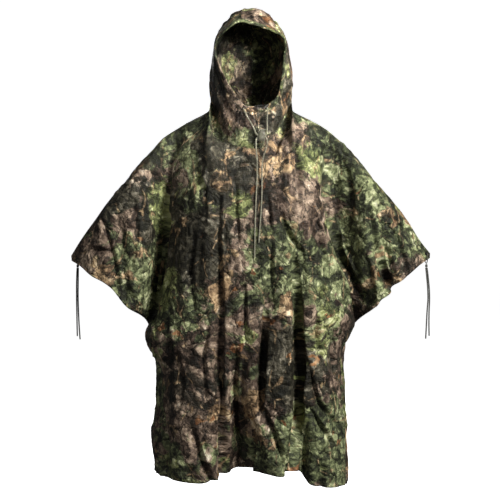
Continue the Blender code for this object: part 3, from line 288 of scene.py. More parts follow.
BACK_CREASES = (
    ((-200, -90, 6, 4), (-216, -200, 8, 9), (-234, -330, 10, 11), (-258, -480, 10, 8)),
    ((200, -90, 6, 4), (218, -200, 8, 9), (240, -350, 10, 11), (268, -490, 10, 8)),
    ((-120, -240, 6, 3), (-128, -420, 8, 8), (-134, -640, 9, 10), (-138, -1000, 9, 13)),
    ((4, -110, 6, 3), (9, -300, 8, 7), (14, -600, 9, 11), (12, -1005, 9, 14)),
    ((126, -260, 6, 3), (138, -480, 8, 9), (148, -760, 9, 12), (152, -1000, 9, 13)),
    ((-70, 10, 7, 3), (-96, -80, 8, 6), (-108, -170, 6, 2)),
    ((72, 8, 7, 3), (92, -70, 8, 6), (110, -150, 6, 2)),
    ((-40, -60, 6, 2), (-52, -150, 8, 6), (-50, -240, 6, 2)),
    ((50, -90, 6, 2), (60, -200, 8, 6), (52, -300, 6, 2)),
    ((-60, -420, 6, 2), (-66, -560, 8, 8), (-58, -720, 6, 2)),
    ((74, -520, 6, 2), (84, -640, 8, 8), (76, -800, 6, 2)),
    ((-70, -800, 6, 2), (-76, -900, 8, 9), (-70, -1000, 8, 9)),
    ((82, -860, 6, 2), (88, -940, 8, 8), (84, -1000, 8, 8)),
    ((-200, -560, 6, 2), (-196, -680, 8, 8), (-204, -820, 6, 2)),
    ((204, -600, 6, 2), (208, -740, 8, 8), (198, -880, 6, 2)),
    ((-210, -860, 6, 2), (-200, -930, 8, 7), (-204, -990, 8, 8)),
    ((214, -880, 6, 2), (206, -950, 8, 7), (208, -1000, 8, 8)),
    ((-366, -250, 6, 2), (-372, -350, 8, 8), (-364, -440, 8, 7)),
    ((352, -250, 6, 2), (350, -360, 8, 8), (346, -470, 8, 7)),
    ((-300, -190, 6, 2), (-312, -300, 8, 7), (-316, -430, 7, 4)),
    ((296, -190, 6, 2), (300, -290, 8, 7), (306, -440, 7, 4)),
    ((-430, -330, 5, 2), (-432, -390, 7, 6), (-430, -432, 7, 5)),
    ((426, -330, 5, 2), (420, -390, 7, 6), (424, -430, 7, 5)),
    ((-160, -330, 6, 2), (-176, -420, 8, 7), (-172, -520, 6, 2)),
    ((166, -340, 6, 2), (182, -450, 8, 7), (180, -560, 6, 2)),
)
# Creases of the hood halves by side: rows of (x, y, z, half width, depth).
HOOD_CREASES = {
    -1: (
        ((-103, -86, 165, 6, 3), (-96, -84, 110, 8, 7), (-78, -100, 50, 8, 8),
         (-52, -118, 0, 8, 6), (-30, -124, -40, 6, 3)),
        ((-112, -20, 60, 6, 2), (-114, 0, 110, 8, 6), (-108, 6, 170, 6, 2)),
        ((-100, 40, 80, 6, 2), (-96, 70, 140, 8, 6), (-92, 60, 210, 6, 2)),
        ((-60, 112, 70, 6, 2), (-52, 118, 130, 8, 6), (-58, 104, 200, 6, 2)),
        ((-70, -60, 258, 6, 2), (-64, -10, 276, 7, 6), (-50, 50, 270, 6, 2)),
        ((-96, -60, 20, 6, 2), (-82, -84, -16, 7, 6), (-54, -104, -52, 6, 3)),
        ((-36, -90, 276, 5, 2), (-46, -60, 281, 6, 5), (-80, -20, 248, 5, 2)),
    ),
    1: (
        ((101, -88, 160, 6, 2), (104, -66, 100, 7, 5), (102, -50, 50, 6, 2)),
        ((112, -10, 70, 6, 2), (113, 6, 120, 8, 6), (106, 8, 180, 6, 2)),
        ((98, 44, 80, 6, 2), (96, 72, 150, 8, 6), (90, 60, 210, 6, 2)),
        ((60, 112, 80, 6, 2), (54, 118, 140, 8, 6), (56, 104, 205, 6, 2)),
        ((66, -60, 256, 6, 2), (60, -10, 276, 7, 6), (46, 50, 272, 6, 2)),
        ((84, -92, 60, 6, 2), (74, -104, 14, 8, 7), (58, -116, -34, 7, 4)),
        ((52, -126, 0, 5, 2), (46, -126, -40, 7, 5), (38, -124, -76, 5, 2)),
        ((34, -100, 272, 5, 2), (46, -60, 279, 6, 5), (80, -20, 246, 5, 2)),
    ),
}
# Small crumples: size, stretch along the cloth, depth.
# Rows are (size, stretch along the cloth's draw, height) of one layer of crumples, in metres.
CRUMPLES = ((0.075, 2.6, 0.0052), (0.036, 2.2, 0.0034), (0.018, 1.7, 0.0018))
HOOD_CRUMPLE = 0.55
HOOD_CREASE = 0.7
CRUMPLE_SEEDS = {"front": 3, "back": 11, -1: 21, 1: 31}
# The hanging ends of the hood cord, which the cloth behind stays clear of: x, y, z.
CORD_REST = (
    (40, -130, -92), (33, -126, -112), (30, -128, -140), (29, -131, -170), (29, -136, -205),
    (27, -142, -250), (24, -146, -300), (21, -149, -345), (14, -128, -102), (16, -128, -130),
    (15, -132, -175), (13, -139, -220), (12, -144, -270), (10, -148, -330), (9, -151, -384),
)
LAP_SETTLE = 0.05
LAP_BLEND = 8

# The print's colours by share of its mottle, from shade to highlight.
FOLIAGE = (
    (0.30, "0d0e09"), (0.40, "23261a"), (0.46, "3b402b"), (0.52, "585d40"), (0.58, "777d58"),
    (0.65, "9c9f76"), (0.74, "c9c8a6"),
)
BARK = (
    (0.30, "0c0907"), (0.40, "231b15"), (0.46, "3e322a"), (0.52, "5d4e42"), (0.58, "816f5e"),
    (0.65, "a8947e"), (0.74, "d9cbb5"),
)
GLOOM = (
    (0.30, "070604"), (0.42, "191710"), (0.50, "2e2b21"), (0.57, "474337"), (0.65, "6a6455"),
    (0.75, "9a9482"),
)
SAND = (
    (0.30, "34281d"), (0.42, "6b5640"), (0.50, "967c5c"), (0.58, "b79c77"), (0.68, "dbc8a6"),
)
MOSS = (
    (0.30, "1c1f12"), (0.42, "474d2e"), (0.50, "6f7448"), (0.58, "929662"), (0.70, "c4c597"),
)
RUST = ((0.30, "24160d"), (0.45, "5f3d25"), (0.58, "8d6543"), (0.72, "c7a27a"))
SHADE_TONE = "12130e"
GAP_TONE = "15140f"
BRANCH_TONE = "100f0b"
RIB_TONE = "b5b09c"
# Patches laid over the bark: colours, tone, offset, scale, where the edge starts and ends,
# and how ragged it is.
ZONES = (
    (GLOOM, "fine", (0, 0, 0), 3.0, 0.535, 0.555, 0.30),
    (FOLIAGE, "fine", (4.4, 2.2, 0), 3.2, 0.485, 0.505, 0.32),
    (SAND, "rough", (5.2, 1.1, 0), 7.5, 0.62, 0.64, 0.30),
    (MOSS, "fine", (8.7, 4.4, 0), 7.0, 0.61, 0.63, 0.30),
    (RUST, "rough", (2.9, 7.3, 0), 15.0, 0.66, 0.68, 0.30),
)
# Spacing of the ripstop's thicker threads, in metres.
RIPSTOP = 0.0055
BRAID_SCALE = 950.0
SPOT_SCALE = 220.0
# The hood as the print sees it: where its crown begins to turn over, its middle and reach.
HOOD_SPRING = 0.17
HOOD_MIDDLE = -0.02
HOOD_REACH = 0.13
# Where each piece is cut from the printed cloth, in metres.
FRONT_PRINT = np.array((2.35, 3.10, 1.70))
BACK_PRINT = np.array((6.10, 1.40, 5.25))
HOOD_PRINT = {-1: np.array((9.05, 4.75, 2.60)), 1: np.array((11.82, 2.71, 7.52))}
CASING_PRINT = np.array((14.10, 5.50, 3.30))
# The hood halves lap at the centre seam, one a little above the other.
# How far the hood halves lap, and how far one stands over the other, at the centre seam.
SEAM_LAP = 2.5 * MM
SEAM_STEP = 1.2 * MM
# The rounding of the crown: its depth, its width, and the room it leaves at the edges.
CROWN_SINK = 9 * MM
CROWN_REACH = 22 * MM
CROWN_CLEAR = 26 * MM
# The smoothing of the corner at the top of the crown.
CORNER_REACH = 16 * MM
CORNER_ROUNDS = 60
# A crease's depth, and its widths on its +X side and on the other.
CREASE_GAIN = 2.2
STEEP_SIDE = 0.5
GENTLE_SIDE = 1.7
TIP_FACES = {"left": "back", "right": "front"}
EYELET_HOLE = 4.4 * MM
# Stitch lines by their distance from the edge, and half the thread's width.
HEM_STITCH = 13 * MM
SIDE_STITCH = 15 * MM
SEAM_STITCH = 4 * MM
NECK_STITCH = 4 * MM
CASING_STITCH = 2 * MM
THREAD = 0.36 * MM
STITCH_PITCH = 3.4 * MM
# Distances over which crumples fade in beside seams, cords and fittings.
SEAM_CALM = 0.03
CORD_CALM = 0.035
FITTING_CALM = 0.022
# Where the crumples start to turn with the sleeve, over what distance, and how far.
SLEEVE_START = 0.2
SLEEVE_TURN = 0.16
SLEEVE_LEAN = 0.6
TUCK = 0.6 * MM
CORD_SIDES = 12
CORD_ASIDE = (0.31, 0.95, 0.05)
TIE_LOOK = 3.9 * MM

# Mesh steps.
SLEEVE_COLUMNS = 60
SHOULDER_COLUMNS = {"front": 36, "back": 46}
NECK_STEPS = {"front": 38, "back": 28}
COARSE_ROWS = (0.0, 0.012, 0.04, 0.08, 0.14, 0.22, 0.31, 0.41, 0.52, 0.64, 0.76, 0.88, 1.0)
UPPER_ROWS = tuple(np.interp(np.linspace(0, 12, 106), np.arange(13), COARSE_ROWS))
LOWER_ROWS = 92
LAP_COLUMNS = 7
SEAM_ROWS = 70
HOOD_COLUMNS = 60
CASING_STEPS = 220
CASING_SIDES = 20

SENSOR = 36.0
CAMERA_AWAY = 3.2
CAMERA_HEIGHT = -0.25
CAMERA_AIM = (-0.003, 0.0, -0.37)
VIEW_HEIGHT = 1.4
FLOOR = -1.35
CORD_LOOK = 3.9 * MM
STAGE_GLOW = 0.9
STAGE_REACH = 14.0
STAGE_CURVE = 4.0
STAGE_STEPS = 24
STAGE_SIDES = 96
WALL_TOP = 9.0
DOME_TOP = 12.0
WORLD_LIGHT = 0.10
# The small key light would give the crown a broken white rim, seen from behind.
GLOSSLESS = ("key",)
# Lights: name, place, aim, size, power and, where it isn't 180, spread in degrees.
LIGHTS = (
    ("key", (1.9, -2.0, 1.4), (0, 0, -0.4), 0.55, 154),
    ("sheen", (1.9, -2.0, 1.4), (0, 0, -0.4), 1.3, 66),
    ("face", (1.2, -2.75, 0.25), (-0.05, 0.0, 0.13), 0.4, 1.3, 16),
    ("fill", (-2.2, -2.6, 0.5), (0, 0, -0.4), 2.0, 10),
    ("back", (-0.3, 3.5, 0.4), (0, 0, -0.4), 1.8, 70),
)


# --- curves and tables ---


def smooth(at, stations, values):
    """Values at the given stations, on a smooth curve through the rows of a table."""
    at = np.asarray(at, float)
    stations = np.asarray(stations, float)
    values = np.asarray(values, float)
    shape = values.shape[1:]
    values = values.reshape(len(values), -1)
    step = np.diff(stations)
    rise = np.diff(values, axis=0) / step[:, None]
    slope = np.empty_like(values)
    slope[0] = rise[0]
    slope[-1] = rise[-1]
    both = (step[:-1] + step[1:])[:, None]
    slope[1:-1] = (rise[:-1] * step[1:, None] + rise[1:] * step[:-1, None]) / both
    low = np.clip(np.searchsorted(stations, at, side="right") - 1, 0, len(step) - 1)
    h = step[low][..., None]
    t = np.clip((at - stations[low]) / step[low], 0, 1)[..., None]
    result = (
        (2 * t**3 - 3 * t**2 + 1) * values[low]
        + (t**3 - 2 * t**2 + t) * h * slope[low]
        + (3 * t**2 - 2 * t**3) * values[low + 1]
        + (t**3 - t**2) * h * slope[low + 1]
    )
    return result.reshape(at.shape + shape)


def distances(points):
    """Length along a line at each of its points, from 0."""
    return np.concatenate([[0.0], np.cumsum(np.linalg.norm(np.diff(points, axis=0), axis=1))])


def lengths_along(grid, axis):
    """Length along the rows or the columns of a grid of points, from 0."""
    steps = np.linalg.norm(np.diff(grid, axis=axis), axis=2)
    return np.insert(np.cumsum(steps, axis=axis), 0, 0, axis=axis)


def smooth_line(points, count):
    """A smooth curve through points, as count points evenly spaced along it."""
    points = np.asarray(points, float)
    along = distances(points)
    fine = smooth(np.linspace(0, along[-1], 40 * len(points)), along, points)
    return evenly(fine, np.linspace(0, 1, count))


def evenly(line, shares):
    """Points of a line at shares of its length."""
    along = distances(line)
    return read_off(np.asarray(shares) * along[-1], along, line)


def read_off(at, along, values):
    """Rows of values at lengths along the line that they belong to."""
    return np.stack([np.interp(at, along, column) for column in values.T], axis=-1)


def ease(t):
    t = np.clip(t, 0, 1)
    return t * t * (3 - 2 * t)


def quarter(t):
    """The rise of a quarter circle, from 0 with an upright start to 1."""
    return np.sqrt(1 - (1 - np.clip(t, 0, 1)) ** 2)


def unit(vectors):
    vectors = np.asarray(vectors, float)
    return vectors / np.maximum(np.linalg.norm(vectors, axis=-1, keepdims=True), 1e-12)


def turned(point, degrees):
    """A point turned about the vertical through the origin."""
    x, y, z = point
    c, s = math.cos(math.radians(degrees)), math.sin(math.radians(degrees))
    return np.array((x * c - y * s, x * s + y * c, z))


# --- neck and shoulder lines ---


def neck_table(side):
    return np.array(NECK_LEFT if side < 0 else NECK_RIGHT) * MM


def neck_corner(side):
    """Station of the neck seam above the shoulder line."""
    at = np.linspace(0, NAPE, 4001)
    line = smooth(at, np.arange(NAPE + 1), neck_table(side))
    return at[int(np.argmin(np.abs(line[:, 1])))]


def neck_stations(side):
    """Stations of the seam's points, shared by the hood and both body panels."""
    corner = neck_corner(side)
    front = np.linspace(0, corner, NECK_STEPS["front"] + 1)
    back = np.linspace(corner, NAPE, NECK_STEPS["back"] + 1)
    return np.concatenate([front, back[1:]])


def neck_points(side):
    return smooth(neck_stations(side), np.arange(NAPE + 1), neck_table(side))


def shoulder_parts(side):
    """The top line in two parts: neck to armpit valley, and valley to tip."""
    table = SHOULDER_LEFT if side < 0 else SHOULDER_RIGHT
    start = neck_points(side)[NECK_STEPS["front"]]
    rows = [(start[0], 0.0, start[2])] + [(x * MM, 0.0, z * MM) for x, z in table]
    line = smooth_line(rows, 500)
    valley = (SIDE_LEFT if side < 0 else SIDE_RIGHT)[0][1] * MM
    cut = int(np.argmin(np.abs(line[:, 0] - valley)))
    return line[: cut + 1], line[cut:]


def top_points(face):
    """The top line of a body panel, with a point at each column."""
    shares = np.linspace(0, 1, SHOULDER_COLUMNS[face] + 1)
    left = evenly(shoulder_parts(-1)[0], shares)[::-1]
    right = evenly(shoulder_parts(1)[0], shares)
    cut = NECK_STEPS["front"]
    if face == "front":
        neck = np.concatenate([neck_points(-1)[cut::-1], neck_points(1)[1 : cut + 1]])
    else:
        neck = np.concatenate([neck_points(-1)[cut:], neck_points(1)[-2 : cut - 1 : -1]])
    return np.concatenate([left, neck[1:-1], right])


# --- the cloth of the body ---


def pressed(x, z, runs, profile, steep=1.0, gentle=1.0):
    """Inward depth of folds or creases at points of the panel. profile gives the share of
    the depth by distance over half width, which can be narrower on the +X side."""
    depth = np.zeros_like(x)
    for run in runs:
        rows = np.array(run) * MM
        near = np.full(x.shape, np.inf)
        width, deep = np.ones_like(x), np.zeros_like(x)
        for (x0, z0, w0, d0), (x1, z1, w1, d1) in zip(rows[:-1], rows[1:]):
            square = (x1 - x0) ** 2 + (z1 - z0) ** 2
            t = np.clip(((x - x0) * (x1 - x0) + (z - z0) * (z1 - z0)) / square, 0, 1)
            away = np.hypot(x - x0 - t * (x1 - x0), z - z0 - t * (z1 - z0))
            closer = away < near
            near = np.where(closer, away, near)
            slant = np.where(x > x0 + t * (x1 - x0), steep, gentle)
            width = np.where(closer, (w0 + t * (w1 - w0)) * slant, width)
            deep = np.where(closer, d0 + t * (d1 - d0), deep)
        depth += deep * profile(near / width)
    return depth


def hollow(share):
    """A soft round hollow, by distance over half width."""
    return np.exp(-(share**2))


def side_x(side, z):
    """X of the armpit valley or of the body's outline at a height."""
    table = np.array(SIDE_LEFT if side < 0 else SIDE_RIGHT) * MM
    return smooth(-z, -table[:, 0], table[:, 1])


def rounded(angle, power):
    """Across and deep shares of a rounded section at an angle."""
    cosine, sine = np.cos(angle), np.sin(angle)
    across = np.sign(cosine) * np.abs(cosine) ** (2 / power)
    return across, np.sign(sine) * np.abs(sine) ** (2 / power)


def rows_down():
    lower = np.linspace(CORNER, 1, LOWER_ROWS + 1)[1:]
    return np.concatenate([np.array(UPPER_ROWS) * CORNER, lower])


def body_grid(face, top, across, down):
    """Points of a body panel. top holds each column's point on the top line, across is
    its share of the width, and down the shares of the way to the hem."""
    front = face == "front"
    table = np.array(FRONT_EDGES if front else BACK_EDGES)
    depth_table = np.array(BODY_DEPTH)
    hem_table = np.array(HEM_FRONT if front else HEM_BACK) * MM
    sign = -1 if front else 1
    down = down[:, None]
    left = np.radians(np.interp(down, table[:, 0], table[:, 1]))
    right = np.radians(np.interp(down, table[:, 0], table[:, 2]))
    angle = left + (math.pi - right - left) * across[None, :]
    over, deep = rounded(angle, RING_POWER)
    depth = smooth(down[:, 0], depth_table[:, 0], depth_table[:, 1 if front else 2] * MM)[:, None]

    # Heights run from the top line to the hem, and the side corners are met exactly.
    middle = 0.5 * (hem_table[0, 0] + hem_table[-1, 0])
    half = 0.5 * (hem_table[0, 0] - hem_table[-1, 0])
    hem_z = smooth(middle + half * over[-1:], hem_table[:, 0], hem_table[:, 1])
    z = top[None, :, 2] + (hem_z - top[None, :, 2]) * down
    tent = np.minimum(down / CORNER, (1 - down) / (1 - CORNER))
    for side, share in ((-1, 1 - across), (1, across)):
        corner = (SLEEVE_EDGE_LEFT if side < 0 else SLEEVE_EDGE_RIGHT)[0][1] * MM
        edge = top[0 if side < 0 else -1, 2]
        hem = hem_z[0, 0 if side < 0 else -1]
        z = z + (corner - edge - (hem - edge) * CORNER) * tent * share[None, :] ** 2

    # Widths run from the top line to the rounded section between the two sides.
    above = down <= CORNER
    reach_left = side_x(-1, z[:, :1]) / np.where(above, rounded(left, RING_POWER)[0], 1.0)
    reach_right = side_x(1, z[:, -1:]) / np.where(above, rounded(right, RING_POWER)[0], 1.0)
    section = 0.5 * (reach_left + reach_right) + 0.5 * (reach_left - reach_right) * over
    settle = ease(down / (0.8 * CORNER))
    x = top[None, :, 0] * (1 - settle) + section * settle
    x[:, 0] = section[:, 0]
    x[:, -1] = section[:, -1]
    x[0] = top[:, 0]

    drop = np.hypot(x - top[None, :, 0], z - top[None, :, 2])
    at_neck = ease(np.abs(top[None, :, 1]) / NECK_BLEND)
    slope = 1 - (1 - np.clip(drop / ROUND_NECK, 0, 1)) ** 2
    rise = quarter(drop / ROUND_BODY) * (1 - at_neck) + slope * at_neck
    y = top[None, :, 1] * (1 - rise) + sign * depth * deep * rise
    lap = LAP_DEGREES / np.degrees(math.pi - right - left)
    inside = ease((np.minimum(across, 1 - across)[None, :] - lap) / 0.08)
    near_corner = ease((CORNER - down) / (0.12 * CORNER))
    free = inside + (1 - inside) * near_corner
    y = y - sign * pressed(x, z, FRONT_FOLDS if front else BACK_FOLDS, hollow) * rise * free
    return np.stack([x, y, z], axis=-1)


def sleeve_grid(face, side, valley, along, down):
    """Points of a sleeve. valley holds its column at the body, along the shares of the
    way to the tip, and down the shares of the way from the top line to the edge."""
    front = face == "front"
    sign = -1 if front else 1
    top = evenly(shoulder_parts(side)[1], along)
    edge_table = np.array(SLEEVE_EDGE_LEFT if side < 0 else SLEEVE_EDGE_RIGHT) * MM
    flat = np.column_stack([edge_table[:, 0], np.zeros(len(edge_table)), edge_table[:, 1]])
    edge = evenly(smooth_line(flat, 300), along)
    top[0], edge[0] = valley[0], valley[-1]
    t = down[:, None]
    straight = top[None] * (1 - t[..., None]) + edge[None] * t[..., None]
    bend = valley - (valley[:1] * (1 - t) + valley[-1:] * t)
    fade = (1 - along)[None, :, None] ** 2
    x = (straight + bend[:, None] * fade)[..., 0]
    z = (straight + bend[:, None] * fade)[..., 2]
    drop = np.hypot(x - top[None, :, 0], z - top[None, :, 2])
    reach_table = np.array(SLEEVE_DEPTH)
    reach = smooth(along, reach_table[:, 0], reach_table[:, 1 if front else 2] * MM)
    room = np.minimum(1, 4 * (1 - along) + 0.05)
    rise = quarter(drop / ROUND_SLEEVE)
    body = sign * (reach[None, :] * rise + SLEEVE_FLARE * t * room[None, :])
    join = ease(along / 0.30)[None, :]
    y = valley[:, 1][:, None] * (1 - join) + body * join
    y = y - sign * pressed(x, z, FRONT_FOLDS if front else BACK_FOLDS, hollow) * rise * join
    return np.stack([x, y, z], axis=-1)


def column_shares(face, count):
    """Shares of the width for the columns, closer where the folds are steep."""
    trial = np.linspace(0, 1, 961)
    top = evenly(top_points(face), trial)
    grid = body_grid(face, top, trial, np.array([0.35, 0.6, 0.8, 1.0]))
    lengths = np.linalg.norm(np.diff(grid, axis=1), axis=2)
    lengths = (lengths / lengths.sum(axis=1, keepdims=True)).mean(axis=0)
    along = np.concatenate([[0], np.cumsum(lengths)])
    edges = (FRONT_EDGES if face == "front" else BACK_EDGES)[-1]
    lap = LAP_DEGREES / (180 - edges[1] - edges[2])
    ends = np.interp([lap, 1 - lap], trial, along)
    inner = np.interp(np.linspace(*ends, count - 2 * LAP_COLUMNS + 1), along, trial)
    strip = np.linspace(0, lap, LAP_COLUMNS + 1)[:-1]
    return np.concatenate([strip, inner, 1 - strip[::-1]])


def panel_grids(face):
    """Grid of a body panel and the grids of its two sleeves."""
    top = top_points(face)
    body = body_grid(face, top, column_shares(face, len(top) - 1), rows_down())
    upper = len(UPPER_ROWS)
    along = np.linspace(0, 1, SLEEVE_COLUMNS + 1)
    shares = np.array(UPPER_ROWS)
    left = sleeve_grid(face, -1, body[:upper, 0], along, shares)
    right = sleeve_grid(face, 1, body[:upper, -1], along, shares)
    return body, [left, right]


def join_grids(body, sleeves):
    """One list of points and one of quads from the body grid and its sleeve grids."""
    rows, columns = body.shape[:2]
    upper = len(UPPER_ROWS)
    points = [body.reshape(-1, 3)]
    body_at = np.arange(rows * columns).reshape(rows, columns)
    grids = [body_at]
    total = rows * columns
    for side, sleeve in zip((-1, 1), sleeves):
        free = sleeve[:, 1:]
        at = total + np.arange(free.shape[0] * free.shape[1]).reshape(free.shape[:2])
        total += at.size
        points.append(free.reshape(-1, 3))
        seam = body_at[:upper, :1] if side < 0 else body_at[:upper, -1:]
        grids.append(np.concatenate([seam, at], axis=1))
    quads = []
    for grid, mirrored in zip(grids, (False, True, False)):
        quad = grid_quads(grid)
        quads.append(quad[:, ::-1] if mirrored else quad)
    return np.concatenate(points), np.concatenate(quads), grids


def grid_quads(grid):
    quads = [grid[:-1, :-1], grid[1:, :-1], grid[1:, 1:], grid[:-1, 1:]]
    return np.stack(quads, axis=-1).reshape(-1, 4)


# --- meshes ---


def triangle_normals(points, quads):
    """Smooth vertex normals of a quad mesh."""
    a, b, c, d = (points[quads[:, k]] for k in range(4))
    face = np.cross(c - a, d - b)
    normals = np.zeros_like(points)
    for k in range(4):
        np.add.at(normals, quads[:, k], face)
    return unit(normals)


def make_mesh(name, points, quads, material, cloth_uv=None, shell=None, printed=None):
    """An object from points and quads. cloth_uv is each point's place in the flat cloth,
    and printed its place in the pattern that the cloth is printed with."""
    mesh = bpy.data.meshes.new(name)
    mesh.vertices.add(len(points))
    mesh.vertices.foreach_set("co", np.asarray(points, float).ravel())
    mesh.loops.add(quads.size)
    mesh.loops.foreach_set("vertex_index", quads.astype(np.int32).ravel())
    mesh.polygons.add(len(quads))
    mesh.polygons.foreach_set("loop_start", np.arange(len(quads), dtype=np.int32) * quads.shape[1])
    mesh.update(calc_edges=True)
    if cloth_uv is not None:
        layer = mesh.uv_layers.new(name="cloth")
        layer.data.foreach_set("uv", cloth_uv[quads.ravel()].astype(float).ravel())
    if printed is not None:
        layer = mesh.attributes.new("print", "FLOAT_VECTOR", "POINT")
        layer.data.foreach_set("vector", printed.astype(float).ravel())
    mesh.validate()
    mesh.shade_smooth()
    mesh.materials.append(material)
    obj = bpy.data.objects.new(name, mesh)
    bpy.context.scene.collection.objects.link(obj)
    if shell:
        solid = obj.modifiers.new("shell", "SOLIDIFY")
        solid.thickness = shell
        solid.offset = 0
    return obj


# --- creases ---


def lattice_noise(x, y, size, seed):
    """Smooth noise from 0 to 1 with features of about the given size."""
    rng = np.random.default_rng(seed)
    table = rng.random((256, 256))
    x, y = x / size + 1000, y / size + 1000
    i, j = np.floor(x).astype(int), np.floor(y).astype(int)
    u, v = ease(x - i), ease(y - j)
    a, b = table[i % 256, j % 256], table[(i + 1) % 256, j % 256]
    c, d = table[i % 256, (j + 1) % 256], table[(i + 1) % 256, (j + 1) % 256]
    return (a * (1 - u) + b * u) * (1 - v) + (c * (1 - u) + d * u) * v


def crumple(along, across, seed):
    """Height of small crumples, as crisp ridges of uneven size. along runs the way the
    cloth is drawn, so that the ridges are longest that way."""
    height = np.zeros_like(along)
    bend = 0.03 * (lattice_noise(along, across, 0.09, seed) - 0.5)
    for k, (size, stretch, depth) in enumerate(CRUMPLES):
        shift = 0.6 * size * lattice_noise(along, across, 1.7 * size, seed + 20 + k)
        n = lattice_noise(along / stretch + shift, across + bend + shift, size, seed + 40 + k)
        m = lattice_noise(along + shift, (across - bend) / stretch, 1.2 * size, seed + 60 + k)
        ridge = 1 - np.abs(2 * n - 1) ** 0.8
        cross = 1 - np.abs(2 * m - 1) ** 0.8
        height += depth * (ridge + 0.5 * cross - 0.75)
    calm = lattice_noise(along, across, 0.13, seed + 90)
    return height * (0.45 + 0.9 * ease((calm - 0.25) / 0.5))


def trough(share):
    """A sharp trough with a soft ridge at each side, by distance over half width."""
    return CREASE_GAIN * (np.exp(-1.2 * share**1.25) - 0.28 * np.exp(-((share - 2.4) ** 2)))


# --- body panels ---


def cloth_places(grids, points):
    """Each point's place in the flat cloth, measured along the rows and the columns."""
    places = np.zeros((len(points), 2))
    body = points[grids[0]]
    middle = body.shape[1] // 2
    across = lengths_along(body, 1)
    across -= across[:, middle : middle + 1]
    places[grids[0], 0] = across
    for side, grid in ((-1, grids[1]), (1, grids[2])):
        sleeve = points[grid]
        start = across[: len(sleeve), :1] if side < 0 else across[: len(sleeve), -1:]
        places[grid, 0] = start + side * lengths_along(sleeve, 1)
    for grid in (grids[1], grids[2], grids[0]):
        places[grid, 1] = points[grid[0]][:, 2] - lengths_along(points[grid], 0)
    return places


def seam_fade(points, lines, reach):
    """0 on the seams, rising to 1 at the given distance from them."""
    tree = KDTree(sum(len(line) for line in lines))
    k = 0
    for line in lines:
        for point in line:
            tree.insert(point, k)
            k += 1
    tree.balance()
    away = np.array([tree.find(point)[2] for point in points])
    return ease(away / reach)


def fittings_on(face):
    """Centres of the eyelets and studs that a panel carries."""
    names = [f"sleeve_eyelet_{side}" for side in ("left", "right") if TIP_FACES[side] == face]
    if face == "front":
        names += [f"press_stud_{side}_{k}" for side in ("left", "right") for k in (1, 2, 3)]
    return np.array([np.mean(np.array(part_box(name)), axis=0) for name in names])


def punch(points, quads, normals, centre):
    """Cuts the eyelet's hole: quads inside it go, and the ragged rim is rounded."""
    axis = normals[np.argmin(np.linalg.norm(points - centre, axis=1))]
    off = points - centre
    height = off @ axis
    radial = off - np.outer(height, axis)
    away = np.linalg.norm(radial, axis=1)
    close = np.abs(height) < 4 * EYELET_HOLE
    inside = close & (away < 0.75 * EYELET_HOLE)
    cut = inside[quads].any(axis=1)
    rim = np.setdiff1d(np.unique(quads[cut]), np.flatnonzero(inside))
    points[rim] += radial[rim] * (EYELET_HOLE / away[rim] - 1)[:, None]
    return quads[~cut]


def panel_surface(face):
    """Points, quads, cloth places, grids and print places of a panel, creased and with its seams
    set.
    """
    body, sleeves = panel_grids(face)
    points, quads, grids = join_grids(body, sleeves)
    if face == "back":
        quads = quads[:, ::-1]
    sign = -1 if face == "front" else 1
    places = cloth_places(grids, points)
    normals = triangle_normals(points, quads)
    shoulders = SHOULDER_COLUMNS[face]
    top = np.concatenate([
        grids[0][0, : shoulders + 1], grids[0][0, -shoulders - 1 :], grids[1][0], grids[2][0],
    ])
    neck = grids[0][0, shoulders:-shoulders]
    below = grids[0][1, shoulders:-shoulders]
    fade = seam_fade(points, [points[top], points[neck]], SEAM_CALM)
    if face == "front":
        fade *= seam_fade(points, [np.array(CORD_REST) * MM], CORD_CALM)
    fittings = fittings_on(face)
    fade *= seam_fade(points, [fittings], FITTING_CALM)
    x, z = points[:, 0], points[:, 2]
    past = np.abs(x) - SLEEVE_START
    lean = np.where(past > 0, np.sign(x) * ease(past / SLEEVE_TURN) * SLEEVE_LEAN, 0.0)
    along = places[:, 1] * np.cos(lean) - places[:, 0] * np.sin(lean)
    across = places[:, 0] * np.cos(lean) + places[:, 1] * np.sin(lean)
    height = crumple(along, across, CRUMPLE_SEEDS[face])
    printed = points + (FRONT_PRINT if face == "front" else BACK_PRINT)
    creases = FRONT_CREASES if face == "front" else BACK_CREASES
    depth = pressed(x, z, creases, trough, STEEP_SIDE, GENTLE_SIDE)
    points = points + normals * ((height - depth) * fade)[:, None]
    points[neck] += unit(points[below] - points[neck]) * SEAM_GAP / 2
    points[top, 1] = sign * SEAM_GAP / 2
    for centre in fittings[:1 if face == "front" else None]:
        quads = punch(points, quads, normals, centre)
    return points, quads, places, grids, printed


def tuck_under(points, normals_out, grids, front_points, front_normals, front_grids):
    """Sets the back panel's edge strips under those of the front."""
    first = len(UPPER_ROWS)
    rows = rows_down()
    settle = ease((rows[first:] - CORNER) / LAP_SETTLE)[:, None]
    grid, front = grids[0][first:], front_grids[0][first:]
    last = grid.shape[1] - 1
    step = CLOTH + LAP_GAP + TUCK
    shift = {}
    for left in (True, False):
        for k in range(LAP_COLUMNS + 1):
            mine = k if left else last - k
            theirs = LAP_COLUMNS - k if left else last - LAP_COLUMNS + k
            target = front_points[front[:, theirs]] - front_normals[front[:, theirs]] * step
            own = points[grid[:, mine]] - normals_out[grid[:, mine]] * step
            moved = own * (1 - settle) + target * settle
            shift[left] = moved - points[grid[:, mine]]
            points[grid[:, mine]] = moved
        for k in range(1, LAP_BLEND):
            mine = LAP_COLUMNS + k if left else last - LAP_COLUMNS - k
            points[grid[:, mine]] += shift[left] * (1 - ease(k / LAP_BLEND))
    return points


